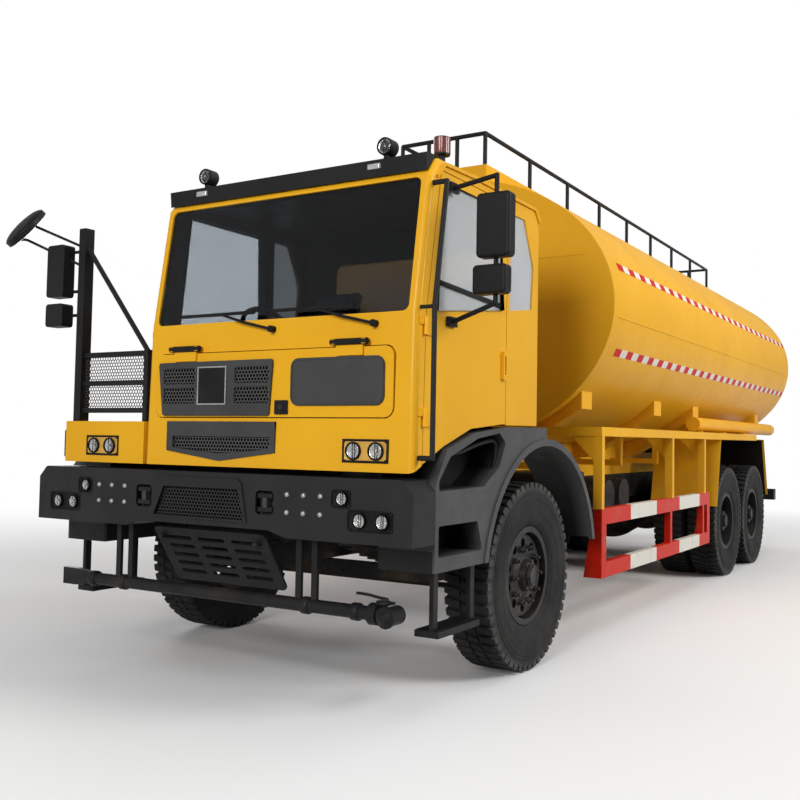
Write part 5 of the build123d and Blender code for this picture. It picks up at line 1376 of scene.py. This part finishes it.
# %% [markdown]
# ## Radiator behind the bumper
# The gap between cab and bumper shows the radiator. Its core is a block with an inset face, and thin
# fins are one blade repeated by an Array.

# %% radiator
core = block_start("core", (-0.560, -5.295, 1.300), (0.900, -5.235, 1.760))
shaped(core, "-Y", [(0.035, -0.020)], 0.005, True)
blade = block_start("blade", (-0.520, -5.290, 1.345), (0.860, -5.276, 1.349))
choose_side(blade, "-Y")
bpy.ops.transform.translate(value=(0, 0, -0.004))
repeat(blade, (0, 0, 0.018), 21)
close_piece(join_all([core, blade], "radiator"), "frame_paint")
print("radiator set")

# %% [markdown]
# ## Tank top and manhole
# The walkway is tread plate: one raised bar, a low block with a narrowed top, repeated by arrays with
# every second row turned. The manhole lid is held by swing bolts with wing nuts.

# %% tread plate
WALK_X, WALK_Z, TREAD_PITCH = -0.430, 4.140, 0.090
LID_Y, LID_CLEAR = AXLE_Y + 5.200, 0.33
bars = []
for turn, shift in ((45, 0.0), (-45, TREAD_PITCH / 2)):
    bar = shaped(block_start("bar", (-0.022, -0.006, -0.002), (0.022, 0.006, 0.004)), "+Z", [(0.003, 0.0)])
    at = Matrix.Translation((WALK_X + shift, TANK_LOW.y + 0.060 + shift, WALK_Z))
    bar.data.transform(at @ Matrix.Rotation(math.radians(turn), 4, "Z"))
    repeat(bar, (TREAD_PITCH, 0, 0), 10)
    repeat(bar, (0, TREAD_PITCH, 0), 85)
    bars.append(bar)
tread = join_all(bars, "walkway_tread")
bpy.ops.object.mode_set(mode="EDIT")
choose(tread, lambda middle, normal: (middle.x ** 2 + (middle.y - LID_Y) ** 2) ** 0.5 < LID_CLEAR)
bpy.ops.mesh.delete(type="FACE")
close_edit()
close_piece(tread, "yellow_paint")
print("walkway treaded")

# %% lid bolts
clamps = []
for turn in range(0, 360, 60):
    stud = drum_start("stud", (0.296, 0, 4.286), "Z", 0.012, 0.030, 12)
    shaped(stud, "+Z", [(0.003, 0.010)], walls=True)
    wing = block_start("wing", (0.290, -0.036, 4.288), (0.302, 0.036, 4.302))
    choose_side(wing, "Y")
    bpy.ops.transform.translate(value=(0, 0, 0.012))
    round_edges(0.004)
    clamp = join_all([stud, wing], "clamp")
    clamp.data.transform(Matrix.Translation((0, LID_Y, 0)) @ Matrix.Rotation(math.radians(turn + 30), 4, "Z"))
    clamps.append(clamp)
close_piece(join_all(clamps, "lid_clamps"), "zinc", "manhole_lid")
print(len(clamps), "lid clamps")

# %% [markdown]
# ## Tail lamps
# Each end of the rear bar carries a lamp cluster: a black case with three lenses, red, amber and
# clear. Case and lenses are blocks with inset, raised faces.

# %% tail lamps
mottled("lens_red", ((0.36, 0.012, 0.010), (0.24, 0.008, 0.008)), 0.18)
mottled("lens_amber", ((0.62, 0.20, 0.012), (0.48, 0.14, 0.010)), 0.18)
BAR_TOP, CASE_X, CASE_HALF = 0.950, 1.02, 0.19
LENS_X, LENS_PITCH = 1.14, 0.12
case_y, case_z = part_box("rear_bumper")[1].y - 0.006, BAR_TOP + 0.051
lens_rows = {"lens_red": [], "lens_amber": [], "marker_clear": []}
cases = []
for side in (1, -1):
    case = slab_start("case", side * CASE_X, case_z, CASE_HALF, 0.052, case_y - 0.080, case_y)
    cases.append(shaped(case, "+Y", [(0.008, -0.004)], 0.004, True))
    for column, row in enumerate(lens_rows.values()):
        x = side * (LENS_X - LENS_PITCH * column)
        lens = slab_start("lens", x, case_z, 0.054, 0.040, case_y - 0.010, case_y - 0.002)
        row.append(shaped(lens, "+Y", [(0.010, 0.006)], 0.003))
close_piece(join_all(cases, "tail_cases"), "black_plastic")
for finish, lenses in lens_rows.items():
    close_piece(join_all(lenses, f"tail_{finish}"), finish)
print("tail lamps on the rear bar")

# %% [markdown]
# ## The floor
# A wide pale sheet under the wheels takes the shadow. It is staging and not part of the truck. Far
# from the truck the sheet turns to plain white for the camera, so that no horizon line shows: the
# distance from the truck drives a mix between the lit floor and a white glow seen by the camera,
# by mirrors and through glass. The sheet throws little light back up, so the belly stays in shade.

# %% floor
FLOOR_NEAR, FLOOR_FAR = 5.0, 15.0

fresh()
bpy.ops.mesh.primitive_plane_add(size=160, location=(0, 0, -0.002))
floor = bpy.context.object
floor.name = "studio_floor"
bpy.ops.object.transform_apply(location=True, rotation=True, scale=True)
tree, shader, place = finish_start("floor_grey", 0.9)
ray = tree.nodes.new("ShaderNodeLightPath")
pale = two_tone(tree, place, 0.2, ((0.88, 0.88, 0.88), (0.86, 0.86, 0.86)))
dull = two_tone(tree, place, 0.2, ((0.28, 0.28, 0.28), (0.26, 0.26, 0.26)))
tree.links.new(mix_colours(tree, ray.outputs["Is Diffuse Ray"], pale, dull), shader.inputs["Base Color"])
reach = tree.nodes.new("ShaderNodeVectorMath")
reach.operation = "LENGTH"
tree.links.new(place, reach.inputs[0])
seen = maths(tree, "MAXIMUM", ray.outputs["Is Camera Ray"], ray.outputs["Is Glossy Ray"])
seen = maths(tree, "MAXIMUM", seen, ray.outputs["Is Transmission Ray"])
far = multiply(tree, add_range(tree, reach.outputs["Value"], FLOOR_NEAR, FLOOR_FAR), seen)
glow = tree.nodes.new("ShaderNodeEmission")
blend_floor = tree.nodes.new("ShaderNodeMixShader")
for output, socket in zip((far, shader.outputs[0], glow.outputs[0]), blend_floor.inputs):
    tree.links.new(output, socket)
tree.links.new(blend_floor.outputs[0], tree.nodes["Material Output"].inputs["Surface"])
floor.data.materials.append(bpy.data.materials["floor_grey"])
print("floor laid")
